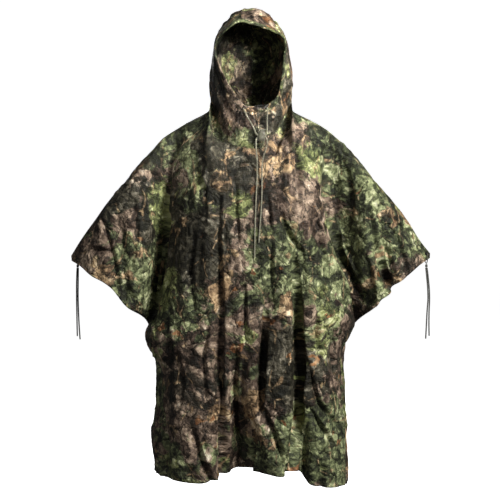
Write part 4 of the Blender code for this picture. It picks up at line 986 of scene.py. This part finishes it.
def make_panels(cloth):
    """Both body panels as creased shells."""
    front_points, quads, places, front_grids, printed = panel_surface("front")
    front_normals = triangle_normals(front_points, quads)
    front = make_mesh("poncho_front", front_points, quads, cloth, places, CLOTH, printed)
    points, quads, places, grids, printed = panel_surface("back")
    normals = triangle_normals(points, quads)
    points = tuck_under(points, normals, grids, front_points, front_normals, front_grids)
    back = make_mesh("poncho_back", points, quads, cloth, places, CLOTH, printed)
    normals = triangle_normals(points, quads)
    return front, back, (front_points, front_normals, front_grids), (points, normals, grids)


# --- hood ---


def nearest(points, line):
    return np.min(np.linalg.norm(points[:, None] - line[None, ::2], axis=2), axis=1)


def eased_corner(points, at, seams):
    """The centre seam without the corner where its two runs meet, and the cloth beside it
    drawn after it. Both halves share the seam's points, so it stays closed."""
    seam = np.concatenate([at[seams - 1 :, -1], at[-1, -2::-1]])
    away = np.linalg.norm(points - points[at[-1, -1]], axis=1)
    near = np.exp(-((away / CORNER_REACH) ** 2))[:, None]
    for _ in range(CORNER_ROUNDS):
        line = points[seam]
        line[1:-1] += near[seam][1:-1] * ((line[:-2] + line[2:]) / 2 - line[1:-1])
        points[seam] = line
    grid, share = points[at], near[at][1:-1, 1:-1]
    for _ in range(CORNER_ROUNDS):
        mean = (grid[:-2, 1:-1] + grid[2:, 1:-1] + grid[1:-1, :-2] + grid[1:-1, 2:]) / 4
        grid[1:-1, 1:-1] += share * (mean - grid[1:-1, 1:-1])
    return grid.reshape(-1, 3)


def rounded_crown(points, at, seams):
    """How far the cloth sinks beside the centre seam, so that the two halves meet in a
    round crown and not in a ridge. Nothing moves at the face edge or at the neck."""
    ridge = nearest(points, points[np.concatenate([at[seams - 1 :, -1], at[-1, ::-1]])])
    face, neck = points[at[:, 0]], points[at[:seams, -1]]
    clear = np.minimum(nearest(points, face), nearest(points, neck))
    centre = np.zeros_like(points)
    centre[:, 1] = HOOD_MIDDLE
    centre[:, 2] = np.minimum(points[:, 2], HOOD_SPRING)
    inward = unit((centre - points) * (0, 1, 1))
    sink = CROWN_SINK * np.exp(-((ridge / CROWN_REACH) ** 2)) * ease(clear / CROWN_CLEAR)
    return inward * sink[:, None]


def hood_stations(side):
    above = np.linspace(NAPE, len(FACE_EDGE) - 1, SEAM_ROWS + 1)[1:]
    return np.concatenate([neck_stations(side), above])


def hood_row(side, station, count):
    """One line of the hood, from the face edge round to the neck or the centre seam."""
    x, y, z, turn = FACE_EDGE[station]
    edge = turned((side * x * MM, y * MM, z * MM), turn)
    if station <= NAPE:
        outer = neck_table(side)[station]
    else:
        outer = np.array(HOOD_SEAM[station - NAPE - 1]) * MM
    if station < FIRST_SIDE:
        middle = 0.5 * (edge + outer)
        middle = middle * (1 + THROAT_BULGE / np.linalg.norm(middle[:2]))
        return smooth_line([edge, middle, outer], count)
    x, y, z = HOOD_SIDE[station - FIRST_SIDE]
    middle = turned((side * x * MM, y * MM, z * MM), 0.5 * turn)
    if station == len(FACE_EDGE) - 1:
        middle[0] = 0.5 * (edge[0] + outer[0])
        return smooth_line([edge, middle, outer], count)
    t = np.linspace(0, 1, 40)[:, None]
    first = edge + (middle - edge) * t
    first[:, :1] = edge[0] + (middle[0] - edge[0]) * np.sin(t * math.pi / 2)
    second = middle + (outer - middle) * np.sin(t * math.pi / 2)
    second[:, :1] = middle[0] + (outer[0] - middle[0]) * (1 - np.cos(t * math.pi / 2))
    if station <= NAPE:
        second[:, 2:] = middle[2] + (outer[2] - middle[2]) * t
    line = np.concatenate([first, second[1:]])
    return evenly(smooth_line(line[::6], 200), np.linspace(0, 1, count))


def hood_grid(side, stations, count):
    last = len(FACE_EDGE) - 1
    rows = np.array([hood_row(side, k, count) for k in range(last + 1)])
    whole = smooth(stations, np.arange(last + 1), rows)
    lower = smooth(np.minimum(stations, NAPE), np.arange(NAPE + 1), rows[: NAPE + 1])
    upper = smooth(np.maximum(stations, NAPE), np.arange(NAPE, last + 1), rows[NAPE:])
    cornered = np.where((stations <= NAPE)[:, None, None], lower, upper)
    sharp = (np.linspace(0, 1, count) ** 3)[None, :, None]
    return whole * (1 - sharp) + cornered * sharp


def make_hood_half(name, side, cloth):
    stations = hood_stations(side)
    grid = hood_grid(side, stations, HOOD_COLUMNS + 1)
    rows, columns = grid.shape[:2]
    points = grid.reshape(-1, 3).copy()
    at = np.arange(rows * columns).reshape(rows, columns)
    quads = grid_quads(at)
    if side < 0:
        quads = quads[:, ::-1]
    seams = NECK_STEPS["front"] + NECK_STEPS["back"] + 1
    points = eased_corner(points, at, seams)
    points = points + rounded_crown(points, at, seams)
    normals = triangle_normals(points, quads)
    if np.sum(normals * (points - np.mean(points, axis=0))) < 0:
        quads, normals = quads[:, ::-1], -normals
    lift = np.maximum(points[:, 2] - HOOD_SPRING, 0)
    out = np.hypot(points[:, 0], points[:, 1] - HOOD_MIDDLE)
    rise = np.arctan2(lift, out)
    turn = np.arctan2(points[:, 1] - HOOD_MIDDLE, side * points[:, 0])
    upward = np.minimum(points[:, 2], HOOD_SPRING) + HOOD_REACH * rise
    places = np.stack([side * HOOD_REACH * turn * np.cos(rise), upward], axis=-1)
    edges = (at[:seams, -1], at[:, 0], at[seams - 1 :, -1], at[0], at[-1])
    fade = seam_fade(points, [points[edge] for edge in edges], FITTING_CALM)
    height = crumple(places[:, 1], places[:, 0], CRUMPLE_SEEDS[side])
    printed = points + HOOD_PRINT[side]
    depth = np.zeros(len(points))
    for crease in HOOD_CREASES[side]:
        rows_mm = np.array(crease) * MM
        line = smooth_line(rows_mm[:, :3], 40)
        along = np.linspace(0, 1, 40)
        stations_here = np.linspace(0, 1, len(rows_mm))
        width = np.interp(along, stations_here, rows_mm[:, 3])
        deep = np.interp(along, stations_here, rows_mm[:, 4])
        away = np.linalg.norm(points[:, None] - line[None], axis=2)
        k = np.argmin(away, axis=1)
        share = away[np.arange(len(points)), k] / width[k]
        depth += HOOD_CREASE * deep[k] * trough(share)
    points = points + normals * ((HOOD_CRUMPLE * height - depth) * fade)[:, None]
    seam = np.unique(np.concatenate([at[0], at[-1], at[seams - 1 :, -1]]))
    points[at[:seams, -1]] += unit(points[at[:seams, -2]] - points[at[:seams, -1]]) * SEAM_GAP / 2
    points[seam, 0] -= side * SEAM_LAP
    points[seam] += normals[seam] * (SEAM_STEP if side > 0 else 0)
    normals = triangle_normals(points, quads)
    half = make_mesh(name, points, quads, cloth, places, CLOTH, printed)
    return half, points[at], normals[at], seams


def make_casing(cloth):
    points, into, normal = face_ring(CASING_STEPS)
    centre = points + into * (CASING_WIDTH / 2 + SEAM_GAP)
    along = distances(np.concatenate([centre, centre[:1]]))
    gather = lattice_noise(along[:-1], 0 * along[:-1], 0.007, 5) - 0.5
    gather = gather + 0.6 * (lattice_noise(along[:-1], 0 * along[:-1], 0.016, 6) - 0.5)
    angles = np.arange(CASING_SIDES) * 2 * math.pi / CASING_SIDES
    across, deep = rounded(angles, CASING_POWER)
    wide, thick = across * CASING_WIDTH / 2, deep * CASING_THICK / 2
    swell = 1 + 0.30 * gather[:, None] * np.exp(-((wide[None, :] + 3 * MM) / (4 * MM)) ** 2)
    rings = centre[:, None] + into[:, None] * wide[None, :, None]
    rings = rings + normal[:, None] * (thick[None, :] * swell)[..., None]
    at = np.arange(CASING_STEPS * CASING_SIDES).reshape(CASING_STEPS, CASING_SIDES)
    closed = np.concatenate([at, at[:1]])
    closed = np.concatenate([closed, closed[:, :1]], axis=1)
    quads = grid_quads(closed)
    flat = rings.reshape(-1, 3)
    a, b, c = (flat[quads[:, k]] for k in range(3))
    if np.sum(a * np.cross(b, c)) < 0:
        quads = quads[:, ::-1]
    places = np.stack([np.repeat(along[:-1], CASING_SIDES), np.tile(wide, CASING_STEPS)], axis=-1)
    printed = flat + CASING_PRINT
    return make_mesh("hood_casing_cloth", flat, quads, cloth, places, printed=printed)


# --- stitches ---


def inset_line(points, normals, away):
    """Points and normals at a distance from an edge. Rows of the grid run in from it."""
    run = np.linalg.norm(np.diff(points, axis=0, prepend=points[:1]), axis=2).cumsum(axis=0)
    both = np.concatenate([points, normals], axis=2)
    line = np.array([
        [np.interp(away, run[:, k], both[:, k, axis]) for axis in range(6)]
        for k in range(points.shape[1])
    ])
    return line[:, :3], unit(line[:, 3:])


def stitch_row(points, normals):
    """A row of stitches: for each, four sections of three points."""
    along = distances(points)
    centres = np.arange(STITCH_PITCH, along[-1] - STITCH_PITCH, STITCH_PITCH)
    ends = []
    for step in (-0.40, -0.24, 0.24, 0.40):
        at = centres + step * STITCH_PITCH
        ends.append([read_off(at, along, part) for part in (points, normals)])
    run = unit(ends[-1][0] - ends[0][0])
    rows = []
    for (place, out), (width, lift) in zip(ends, ((0.3, 0.0), (1, 1), (1, 1), (0.3, 0.0))):
        side = unit(np.cross(run, out)) * THREAD * width
        foot = place + out * (0.5 * CLOTH)
        ridge = foot + out * THREAD * (0.2 + lift)
        rows.append(np.stack([foot - side, ridge, foot + side], axis=1))
    return np.stack(rows, axis=1)


def make_stitches(name, lines, material):
    """Rows of stitches as one joined mesh."""
    blocks = np.concatenate([stitch_row(*line) for line in lines])
    count = len(blocks)
    at = np.arange(count * 12).reshape(count, 4, 3)
    quads = np.concatenate([
        np.stack([at[:, k, j], at[:, k, j + 1], at[:, k + 1, j + 1], at[:, k + 1, j]], axis=-1)
        for k in range(3) for j in range(2)
    ])
    return make_mesh(name, blocks.reshape(-1, 3), quads, material)


def panel_lines(points, normals, grids, face):
    """Where a panel is sewn: its hem, sleeve hems, side hems, shoulders and neck."""
    body = grids[0]
    first = len(UPPER_ROWS)
    shoulders = SHOULDER_COLUMNS[face]
    sewn = (
        (HEM_STITCH, (body[::-1], grids[1][::-1, ::-1], grids[2][::-1])),
        (SIDE_STITCH, (body[first:].T, body[first:, ::-1].T)),
        (SEAM_STITCH, (grids[1], grids[2], body[:, :shoulders], body[:, -shoulders:])),
        (NECK_STITCH, (body[:, shoulders:-shoulders],)),
    )
    return [inset_line(points[at], normals[at], away) for away, edges in sewn for at in edges]


def hood_lines(points, normals, seams):
    """Where a hood half is sewn: its centre seam, its neck and its face edge."""
    rows = (slice(seams - 1, None), slice(0, seams), slice(None))
    columns = (slice(None, None, -1), slice(None, None, -1), slice(None))
    lines = []
    for row, column, away in zip(rows, columns, (SEAM_STITCH, NECK_STITCH, CASING_STITCH)):
        inward = [part[row, column].transpose(1, 0, 2) for part in (points, normals)]
        lines.append(inset_line(*inward, away))
    return lines


def face_ring(count):
    """The face edge as a closed ring: points, directions into the face, normals."""
    half = np.linspace(0, len(FACE_EDGE) - 1, 160)
    right = hood_grid(1, half, 12)[:, :2]
    left = hood_grid(-1, half, 12)[:, :2]
    into = {}
    for side, grid in ((1, right), (-1, left)):
        into[side] = unit(grid[:, 0] - grid[:, 1])
    for end in (0, -1):
        mean = unit(into[1][end] + into[-1][end])
        into[1][end] = into[-1][end] = mean
    ring_points = np.concatenate([right[:, 0], left[-2:0:-1, 0]])
    ring_into = np.concatenate([into[1], into[-1][-2:0:-1]])
    closed = np.concatenate([ring_points, ring_points[:1]])
    along = distances(closed)
    at = np.linspace(0, along[-1], count, endpoint=False)
    points = read_off(at, along, closed)
    into = read_off(at, along, np.concatenate([ring_into, ring_into[:1]]))
    for _ in range(max(2, count // 28)):
        into = (np.roll(into, 1, axis=0) + 2 * into + np.roll(into, -1, axis=0)) / 4
        points = (np.roll(points, 1, axis=0) + 6 * points + np.roll(points, -1, axis=0)) / 8
    tangent = unit(np.roll(points, -1, axis=0) - np.roll(points, 1, axis=0))
    into = unit(into - tangent * np.sum(into * tangent, axis=1, keepdims=True))
    normal = np.cross(tangent, into)
    if normal[0, 1] > 0:
        normal = -normal
    return points, into, normal


# --- materials ---


def new_material(name):
    material = bpy.data.materials.new(name)
    material.use_nodes = True
    return material, material.node_tree.nodes["Principled BSDF"]


def add(tree, kind, inputs=None, **settings):
    """A node with its settings, and each input set to a value or linked to a socket."""
    node = tree.nodes.new(kind)
    for key, value in settings.items():
        setattr(node, key, value)
    for key, value in (inputs or {}).items():
        if isinstance(value, bpy.types.NodeSocket):
            tree.links.new(value, node.inputs[key])
        else:
            node.inputs[key].default_value = value
    return node


def maths(tree, operation, *values):
    return add(tree, "ShaderNodeMath", dict(enumerate(values)), operation=operation).outputs[0]


def weighted(tree, *parts):
    """The sum of sockets, each times its share."""
    total = maths(tree, "MULTIPLY", *parts[-1])
    for socket, share in reversed(parts[:-1]):
        total = maths(tree, "MULTIPLY_ADD", socket, share, total)
    return total


def vector_maths(tree, operation, inputs):
    return add(tree, "ShaderNodeVectorMath", inputs, operation=operation).outputs[0]


def noise(tree, vector, scale, detail=2.0, roughness=0.5, distortion=0.0, colour=False):
    inputs = {"Vector": vector, "Scale": scale, "Detail": detail}
    inputs.update({"Roughness": roughness, "Distortion": distortion})
    node = add(tree, "ShaderNodeTexNoise", inputs)
    return node.outputs["Color" if colour else "Fac"]


def moved(tree, vector, by, amount):
    """A vector moved by a noise colour, about the colour's middle."""
    centred = vector_maths(tree, "SUBTRACT", {0: by, 1: (0.5, 0.5, 0.5)})
    scaled = vector_maths(tree, "SCALE", {0: centred, "Scale": amount})
    return vector_maths(tree, "ADD", {0: vector, 1: scaled})


def offset(tree, vector, by, stretch=(1, 1, 1)):
    shifted = vector_maths(tree, "ADD", {0: vector, 1: by})
    return vector_maths(tree, "MULTIPLY", {0: shifted, 1: stretch})


def step_up(tree, value, low, high):
    """0 below low, 1 above high, with a smooth rise between."""
    inputs = {"Value": value, "From Min": low, "From Max": high}
    node = add(tree, "ShaderNodeMapRange", inputs, interpolation_type="SMOOTHSTEP")
    return node.outputs["Result"]


def mix(tree, share, first, second):
    inputs = {0: share, 6: first, 7: second}
    return add(tree, "ShaderNodeMix", inputs, data_type="RGBA").outputs[2]


def linear(code):
    """A linear colour from a hexadecimal sRGB code."""
    parts = [int(code[k : k + 2], 16) / 255 for k in (0, 2, 4)]
    return (*[p / 12.92 if p <= 0.04045 else ((p + 0.055) / 1.055) ** 2.4 for p in parts], 1.0)


def ramp(tree, value, stops):
    node = add(tree, "ShaderNodeValToRGB", {"Fac": value})
    elements = node.color_ramp.elements
    while len(elements) < len(stops):
        elements.new(0.5)
    for element, (place, code) in zip(elements, stops):
        element.position = place
        element.color = linear(code)
    return node.outputs["Color"]


def cells(tree, place, scale, spread=1.0):
    """Cells of a jittered lattice: a random tone for each, and the distance to its edge."""
    inputs = {"Vector": place, "Scale": scale, "Randomness": spread}
    tone = add(tree, "ShaderNodeTexVoronoi", inputs).outputs["Color"]
    edge = add(tree, "ShaderNodeTexVoronoi", inputs, feature="DISTANCE_TO_EDGE").outputs["Distance"]
    return add(tree, "ShaderNodeSeparateColor", {"Color": tone}).outputs[0], edge


def zone_edge(tree, place, ragged, scale, low, high, share):
    """Large patches with ragged outlines."""
    broad = noise(tree, place, scale, 3, 0.5)
    broad = maths(tree, "MULTIPLY_ADD", maths(tree, "SUBTRACT", ragged, 0.5), share, broad)
    return step_up(tree, broad, low, high)


def borders(tree, edge, width, where, rise):
    """1 on the borders between cells, kept where another value is high."""
    line = maths(tree, "SUBTRACT", 1.0, step_up(tree, edge, *width))
    return maths(tree, "MULTIPLY", line, step_up(tree, where, *rise))


def camouflage(tree, place):
    """A woodland camouflage: broken zones of foliage, bark and shade, each mottled."""
    warp = noise(tree, place, 9, 2, colour=True)
    broad = moved(tree, place, warp, 0.06)
    fine = moved(tree, broad, noise(tree, broad, 60, 3, 0.6, colour=True), 0.014)
    ragged = noise(tree, fine, 30, 6, 0.66)
    leaf_tone, _ = cells(tree, fine, 75)
    clumped = moved(tree, place, noise(tree, place, 50, 3, 0.6, colour=True), 0.024)
    clump_tone, clump_edge = cells(tree, clumped, 26)
    grain = noise(tree, fine, 85, 7, 0.68)
    strands = noise(tree, offset(tree, fine, (1.3, 0.7, 0), (1, 1, 0.5)), 60, 8, 0.70, 0.3)
    tones = {
        "fine": weighted(tree, (leaf_tone, 0.16), (clump_tone, 0.20), (grain, 0.64)),
        "rough": weighted(tree, (clump_tone, 0.22), (leaf_tone, 0.08), (strands, 0.70)),
    }
    colour = ramp(tree, tones["rough"], BARK)
    for stops, tone, by, *outline in ZONES:
        zone = zone_edge(tree, offset(tree, broad, by), ragged, *outline)
        colour = mix(tree, zone, colour, ramp(tree, tones[tone], stops))
    dark = zone_edge(tree, offset(tree, broad, (3.3, 9.1, 0)), ragged, 9.0, 0.585, 0.62, 0.42)
    colour = mix(tree, maths(tree, "MULTIPLY", dark, 0.85), colour, linear(SHADE_TONE))
    gaps = borders(tree, clump_edge, (0.01, 0.12), ragged, (0.44, 0.56))
    colour = mix(tree, maths(tree, "MULTIPLY", gaps, 0.6), colour, linear(GAP_TONE))
    twigs = offset(tree, moved(tree, broad, warp, 0.05), (6.1, 2.7, 0), (1, 1, 0.55))
    twig = borders(tree, cells(tree, twigs, 15)[1], (0.012, 0.04), ragged, (0.50, 0.58))
    colour = mix(tree, maths(tree, "MULTIPLY", twig, 0.7), colour, ramp(tree, grain, SAND))
    branches = offset(tree, moved(tree, fine, warp, 0.04), (1.9, 8.3, 0), (1, 1, 0.45))
    branch = borders(tree, cells(tree, branches, 27)[1], (0.015, 0.06), grain, (0.44, 0.50))
    return mix(tree, maths(tree, "MULTIPLY", branch, 0.8), colour, linear(BRANCH_TONE))


def ridged(tree, place, scale, detail, share):
    """Sharp creases where a noise crosses its middle."""
    wave = noise(tree, place, scale, detail, 0.5, 0.6)
    ridge = maths(tree, "ABSOLUTE", maths(tree, "SUBTRACT", wave, 0.5))
    sharp = maths(tree, "POWER", maths(tree, "MULTIPLY", ridge, 2.0), 0.7)
    return maths(tree, "MULTIPLY", sharp, share)


def cloth_material():
    """Coated ripstop: the print, a fine grid of thicker threads, and small crinkles."""
    material, shader = new_material("camouflage_ripstop")
    tree = material.node_tree
    flat = add(tree, "ShaderNodeUVMap", uv_map="cloth").outputs["UV"]
    place = add(tree, "ShaderNodeAttribute", attribute_name="print").outputs["Vector"]
    colour = camouflage(tree, place)
    parts = add(tree, "ShaderNodeSeparateXYZ", {"Vector": flat})
    ribs = []
    for axis in ("X", "Y"):
        turn = maths(tree, "FRACT", maths(tree, "MULTIPLY", parts.outputs[axis], 1 / RIPSTOP))
        gap = maths(tree, "ABSOLUTE", maths(tree, "SUBTRACT", turn, 0.5))
        ribs.append(maths(tree, "SUBTRACT", 1.0, step_up(tree, gap, 0.02, 0.07)))
    grid = maths(tree, "MAXIMUM", *ribs)
    colour = mix(tree, maths(tree, "MULTIPLY", grid, 0.05), colour, linear(RIB_TONE))
    tree.links.new(colour, shader.inputs["Base Color"])
    small = ridged(tree, offset(tree, place, (3.1, 1.7, 0)), 48, 2, 0.0032)
    height = maths(tree, "ADD", ridged(tree, place, 20, 2, 0.0080), small)
    finest = maths(tree, "MULTIPLY", noise(tree, place, 150, 3, 0.5), 0.0006)
    height = maths(tree, "ADD", height, finest)
    height = maths(tree, "MULTIPLY_ADD", grid, 0.00008, height)
    bump = add(tree, "ShaderNodeBump", {"Height": height, "Strength": 1.0, "Distance": 1.0})
    tree.links.new(bump.outputs["Normal"], shader.inputs["Normal"])
    worn = noise(tree, place, 30, 3)
    rough = maths(tree, "MULTIPLY_ADD", worn, 0.22, 0.47)
    tree.links.new(rough, shader.inputs["Roughness"])
    shader.inputs["Specular IOR Level"].default_value = 0.24
    return material


def braid_material(name, dark, light):
    """Braided cord: strands that cross, from the cord's own length and girth, with painted shade in
    the gaps between them.
    """
    material, shader = new_material(name)
    tree = material.node_tree
    place = add(tree, "ShaderNodeTexCoord").outputs["Object"]
    strands = offset(tree, place, (0, 0, 0), (1, 1, 0.45))
    weave = add(tree, "ShaderNodeTexVoronoi", {"Vector": strands, "Scale": BRAID_SCALE})
    # Painted shade: the colour runs from light on each strand's raised middle to dark in the low
    # gaps between strands, where shade falls.
    tone = ramp(tree, weave.outputs["Distance"], ((0.0, light), (0.75, dark)))
    tree.links.new(tone, shader.inputs["Base Color"])
    bump = add(tree, "ShaderNodeBump", {
        "Height": weave.outputs["Distance"], "Strength": 0.6, "Distance": 0.0006,
    }, invert=True)
    tree.links.new(bump.outputs["Normal"], shader.inputs["Normal"])
    shader.inputs["Roughness"].default_value = 0.72
    return material


def hard_material(name, dark, light, roughness, metallic):
    """Moulded or lacquered surfaces, faintly speckled and pitted."""
    material, shader = new_material(name)
    tree = material.node_tree
    place = add(tree, "ShaderNodeTexCoord").outputs["Object"]
    spots = noise(tree, place, SPOT_SCALE, 4, 0.6)
    tree.links.new(ramp(tree, spots, ((0.35, dark), (0.68, light))), shader.inputs["Base Color"])
    rough = maths(tree, "MULTIPLY_ADD", spots, 0.25, roughness - 0.12)
    tree.links.new(rough, shader.inputs["Roughness"])
    pits = noise(tree, place, 3 * SPOT_SCALE, 2)
    bump = add(tree, "ShaderNodeBump", {"Height": pits, "Strength": 0.25, "Distance": 0.0003})
    tree.links.new(bump.outputs["Normal"], shader.inputs["Normal"])
    shader.inputs["Metallic"].default_value = metallic
    return material


# --- cords ---


def make_cord(name, line, diameter, material):
    """A cord as a mesh tube along a line of points, closed and a little blunt at its ends."""
    tangent = unit(np.gradient(line, axis=0))
    across = unit(np.cross(tangent, CORD_ASIDE))
    other = np.cross(tangent, across)
    angles = (np.arange(CORD_SIDES) * 2 * math.pi / CORD_SIDES)[None, :, None]
    ring_points = np.cos(angles) * across[:, None] + np.sin(angles) * other[:, None]
    radius = np.full(len(line), diameter / 2)
    radius[0] = radius[-1] = 0.35 * diameter
    points = (line[:, None] + ring_points * radius[:, None, None]).reshape(-1, 3)
    at = np.arange(len(points)).reshape(len(line), CORD_SIDES)
    at = np.concatenate([at, at[:, :1]], axis=1)
    obj = make_mesh(name, points, grid_quads(at), material)
    mesh = bmesh.new()
    mesh.from_mesh(obj.data)
    bmesh.ops.holes_fill(mesh, edges=mesh.edges, sides=0)
    bmesh.ops.recalc_face_normals(mesh, faces=mesh.faces)
    mesh.to_mesh(obj.data)
    mesh.free()
    return obj


# --- scene ---


def make_camera():
    data = bpy.data.cameras.new("camera")
    data.sensor_width = SENSOR
    data.lens = SENSOR * CAMERA_AWAY / VIEW_HEIGHT
    camera = bpy.data.objects.new("camera", data)
    camera.location = (0.0, -CAMERA_AWAY, CAMERA_HEIGHT)
    aim = Vector(CAMERA_AIM) - camera.location
    camera.rotation_euler = aim.to_track_quat("-Z", "Y").to_euler()
    bpy.context.scene.collection.objects.link(camera)
    bpy.context.scene.camera = camera


def make_light(name, place, aim, size, power, spread=180):
    data = bpy.data.lights.new(name, "AREA")
    data.size = size
    data.energy = power
    data.spread = math.radians(spread)
    light = bpy.data.objects.new(name, data)
    light.location = place
    light.rotation_euler = (Vector(aim) - Vector(place)).to_track_quat("-Z", "Y").to_euler()
    light.visible_glossy = name not in GLOSSLESS
    bpy.context.scene.collection.objects.link(light)


def make_stage():
    """A pale round floor that curves up into a wall and a dome."""
    material, shader = new_material("backdrop")
    tree = material.node_tree
    place = add(tree, "ShaderNodeTexCoord").outputs["Object"]
    grain = noise(tree, place, 3.0, 2)
    paper = ramp(tree, grain, ((0.3, "f4f4f3"), (0.7, "fafafa")))
    tree.links.new(paper, shader.inputs["Base Color"])
    shader.inputs["Roughness"].default_value = 0.9
    shader.inputs["Emission Color"].default_value = (1.0, 1.0, 1.0, 1.0)
    shader.inputs["Emission Strength"].default_value = STAGE_GLOW
    profile = [(0.001, FLOOR), (3.0, FLOOR), (STAGE_REACH - STAGE_CURVE, FLOOR)]
    for k in range(1, STAGE_STEPS + 1):
        turn = k / STAGE_STEPS * math.pi / 2
        out, up = 1 - math.sin(turn), 1 - math.cos(turn)
        profile.append((STAGE_REACH - STAGE_CURVE * out, FLOOR + STAGE_CURVE * up))
    profile += [(STAGE_REACH, WALL_TOP), (0.001, DOME_TOP)]
    turns = np.linspace(0, 2 * math.pi, STAGE_SIDES + 1)
    points = np.array([
        (r * math.cos(turn), r * math.sin(turn), z) for r, z in profile for turn in turns
    ])
    at = np.arange(len(points)).reshape(len(profile), len(turns))
    stage = make_mesh("floor", points, grid_quads(at)[:, ::-1], material)
    stage.visible_diffuse = False
    stage.visible_glossy = False
    world = bpy.data.worlds.new("studio")
    world.use_nodes = True
    background = world.node_tree.nodes["Background"]
    background.inputs["Color"].default_value = (1.0, 1.0, 1.0, 1.0)
    background.inputs["Strength"].default_value = WORLD_LIGHT
    bpy.context.scene.world = world
    bpy.context.scene.view_settings.view_transform = "Standard"
    for light in LIGHTS:
        make_light(*light)


def main():
    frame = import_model()
    make_camera()
    make_stage()
    braid = braid_material("cord_braid", "4c4a3d", "a39f88")
    dark_braid = braid_material("tie_braid", "2c2c29", "63625b")
    for side, route in CORD_ROUTES.items():
        route = np.array(route) * MM
        line = smooth_line(route, 320)
        cord = make_cord(f"hood_cord_braid_{side}", line, CORD_LOOK, braid)
        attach(cord, "root")
        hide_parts(f"hood_cord_{side}")
    cloth = cloth_material()
    for side in ("left", "right"):
        low, high = np.array(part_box(f"tie_knot_{side}"))
        foot = np.array((*(0.5 * (low + high))[:2], low[2]))
        for end in ("a", "b"):
            line = smooth_line(foot + np.array(TIE_ROUTES[f"{side}_{end}"]) * MM, 160)
            tie = make_cord(f"tie_braid_{side}_{end}", line, TIE_LOOK, dark_braid)
            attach(tie, "root")
            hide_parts(f"tie_end_{side}_{end}")
    thread = braid_material("thread", "3a3b2b", "77775f")
    front, back, front_sheet, back_sheet = make_panels(cloth)
    hoods = {}
    sewn = {
        "stitches_front": panel_lines(*front_sheet, "front"),
        "stitches_back": panel_lines(*back_sheet, "back"),
        "stitches_hood": [],
    }
    for name, side in (("left", -1), ("right", 1)):
        hoods[name], points, normals, seams = make_hood_half(f"hood_{name}_cloth", side, cloth)
        sewn["stitches_hood"] += hood_lines(points, normals, seams)
    for name, lines in sewn.items():
        stitches = make_stitches(name, lines, thread)
        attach(stitches, "root")
    casing = make_casing(cloth)
    for piece, node, flat, area, held in (
        (front, "front_panel", (1.42, 1.08), 0.86, "hung"),
        (back, "back_panel", (1.42, 1.12), 0.98, "hung"),
        (hoods["left"], "hood_left", (0.33, 0.44), 0.10, "hung"),
        (hoods["right"], "hood_right", (0.33, 0.44), 0.10, "hung"),
    ):
        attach(piece, "root")
        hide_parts(node)
    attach(casing, "root")
    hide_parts("hood_casing")
    looks = {
        "cord_lock": hard_material("lock_moulded", "3f3e31", "5b594a", 0.42, 0.0),
        "chin_eyelet": hard_material("eyelet_lacquer", "0d0d0b", "24231f", 0.36, 0.6),
        "sleeve_eyelet": hard_material("eyelet_dark", "0b0b0a", "201f1c", 0.36, 0.6),
        "press_stud": hard_material("stud_lacquer", "2c3320", "4c5438", 0.36, 0.2),
        "tie_": dark_braid,
    }
    for name, obj in frame["nodes"].items():
        for start, material in looks.items():
            if name.startswith(start):
                for slot in obj.material_slots:
                    slot.material = material


main()
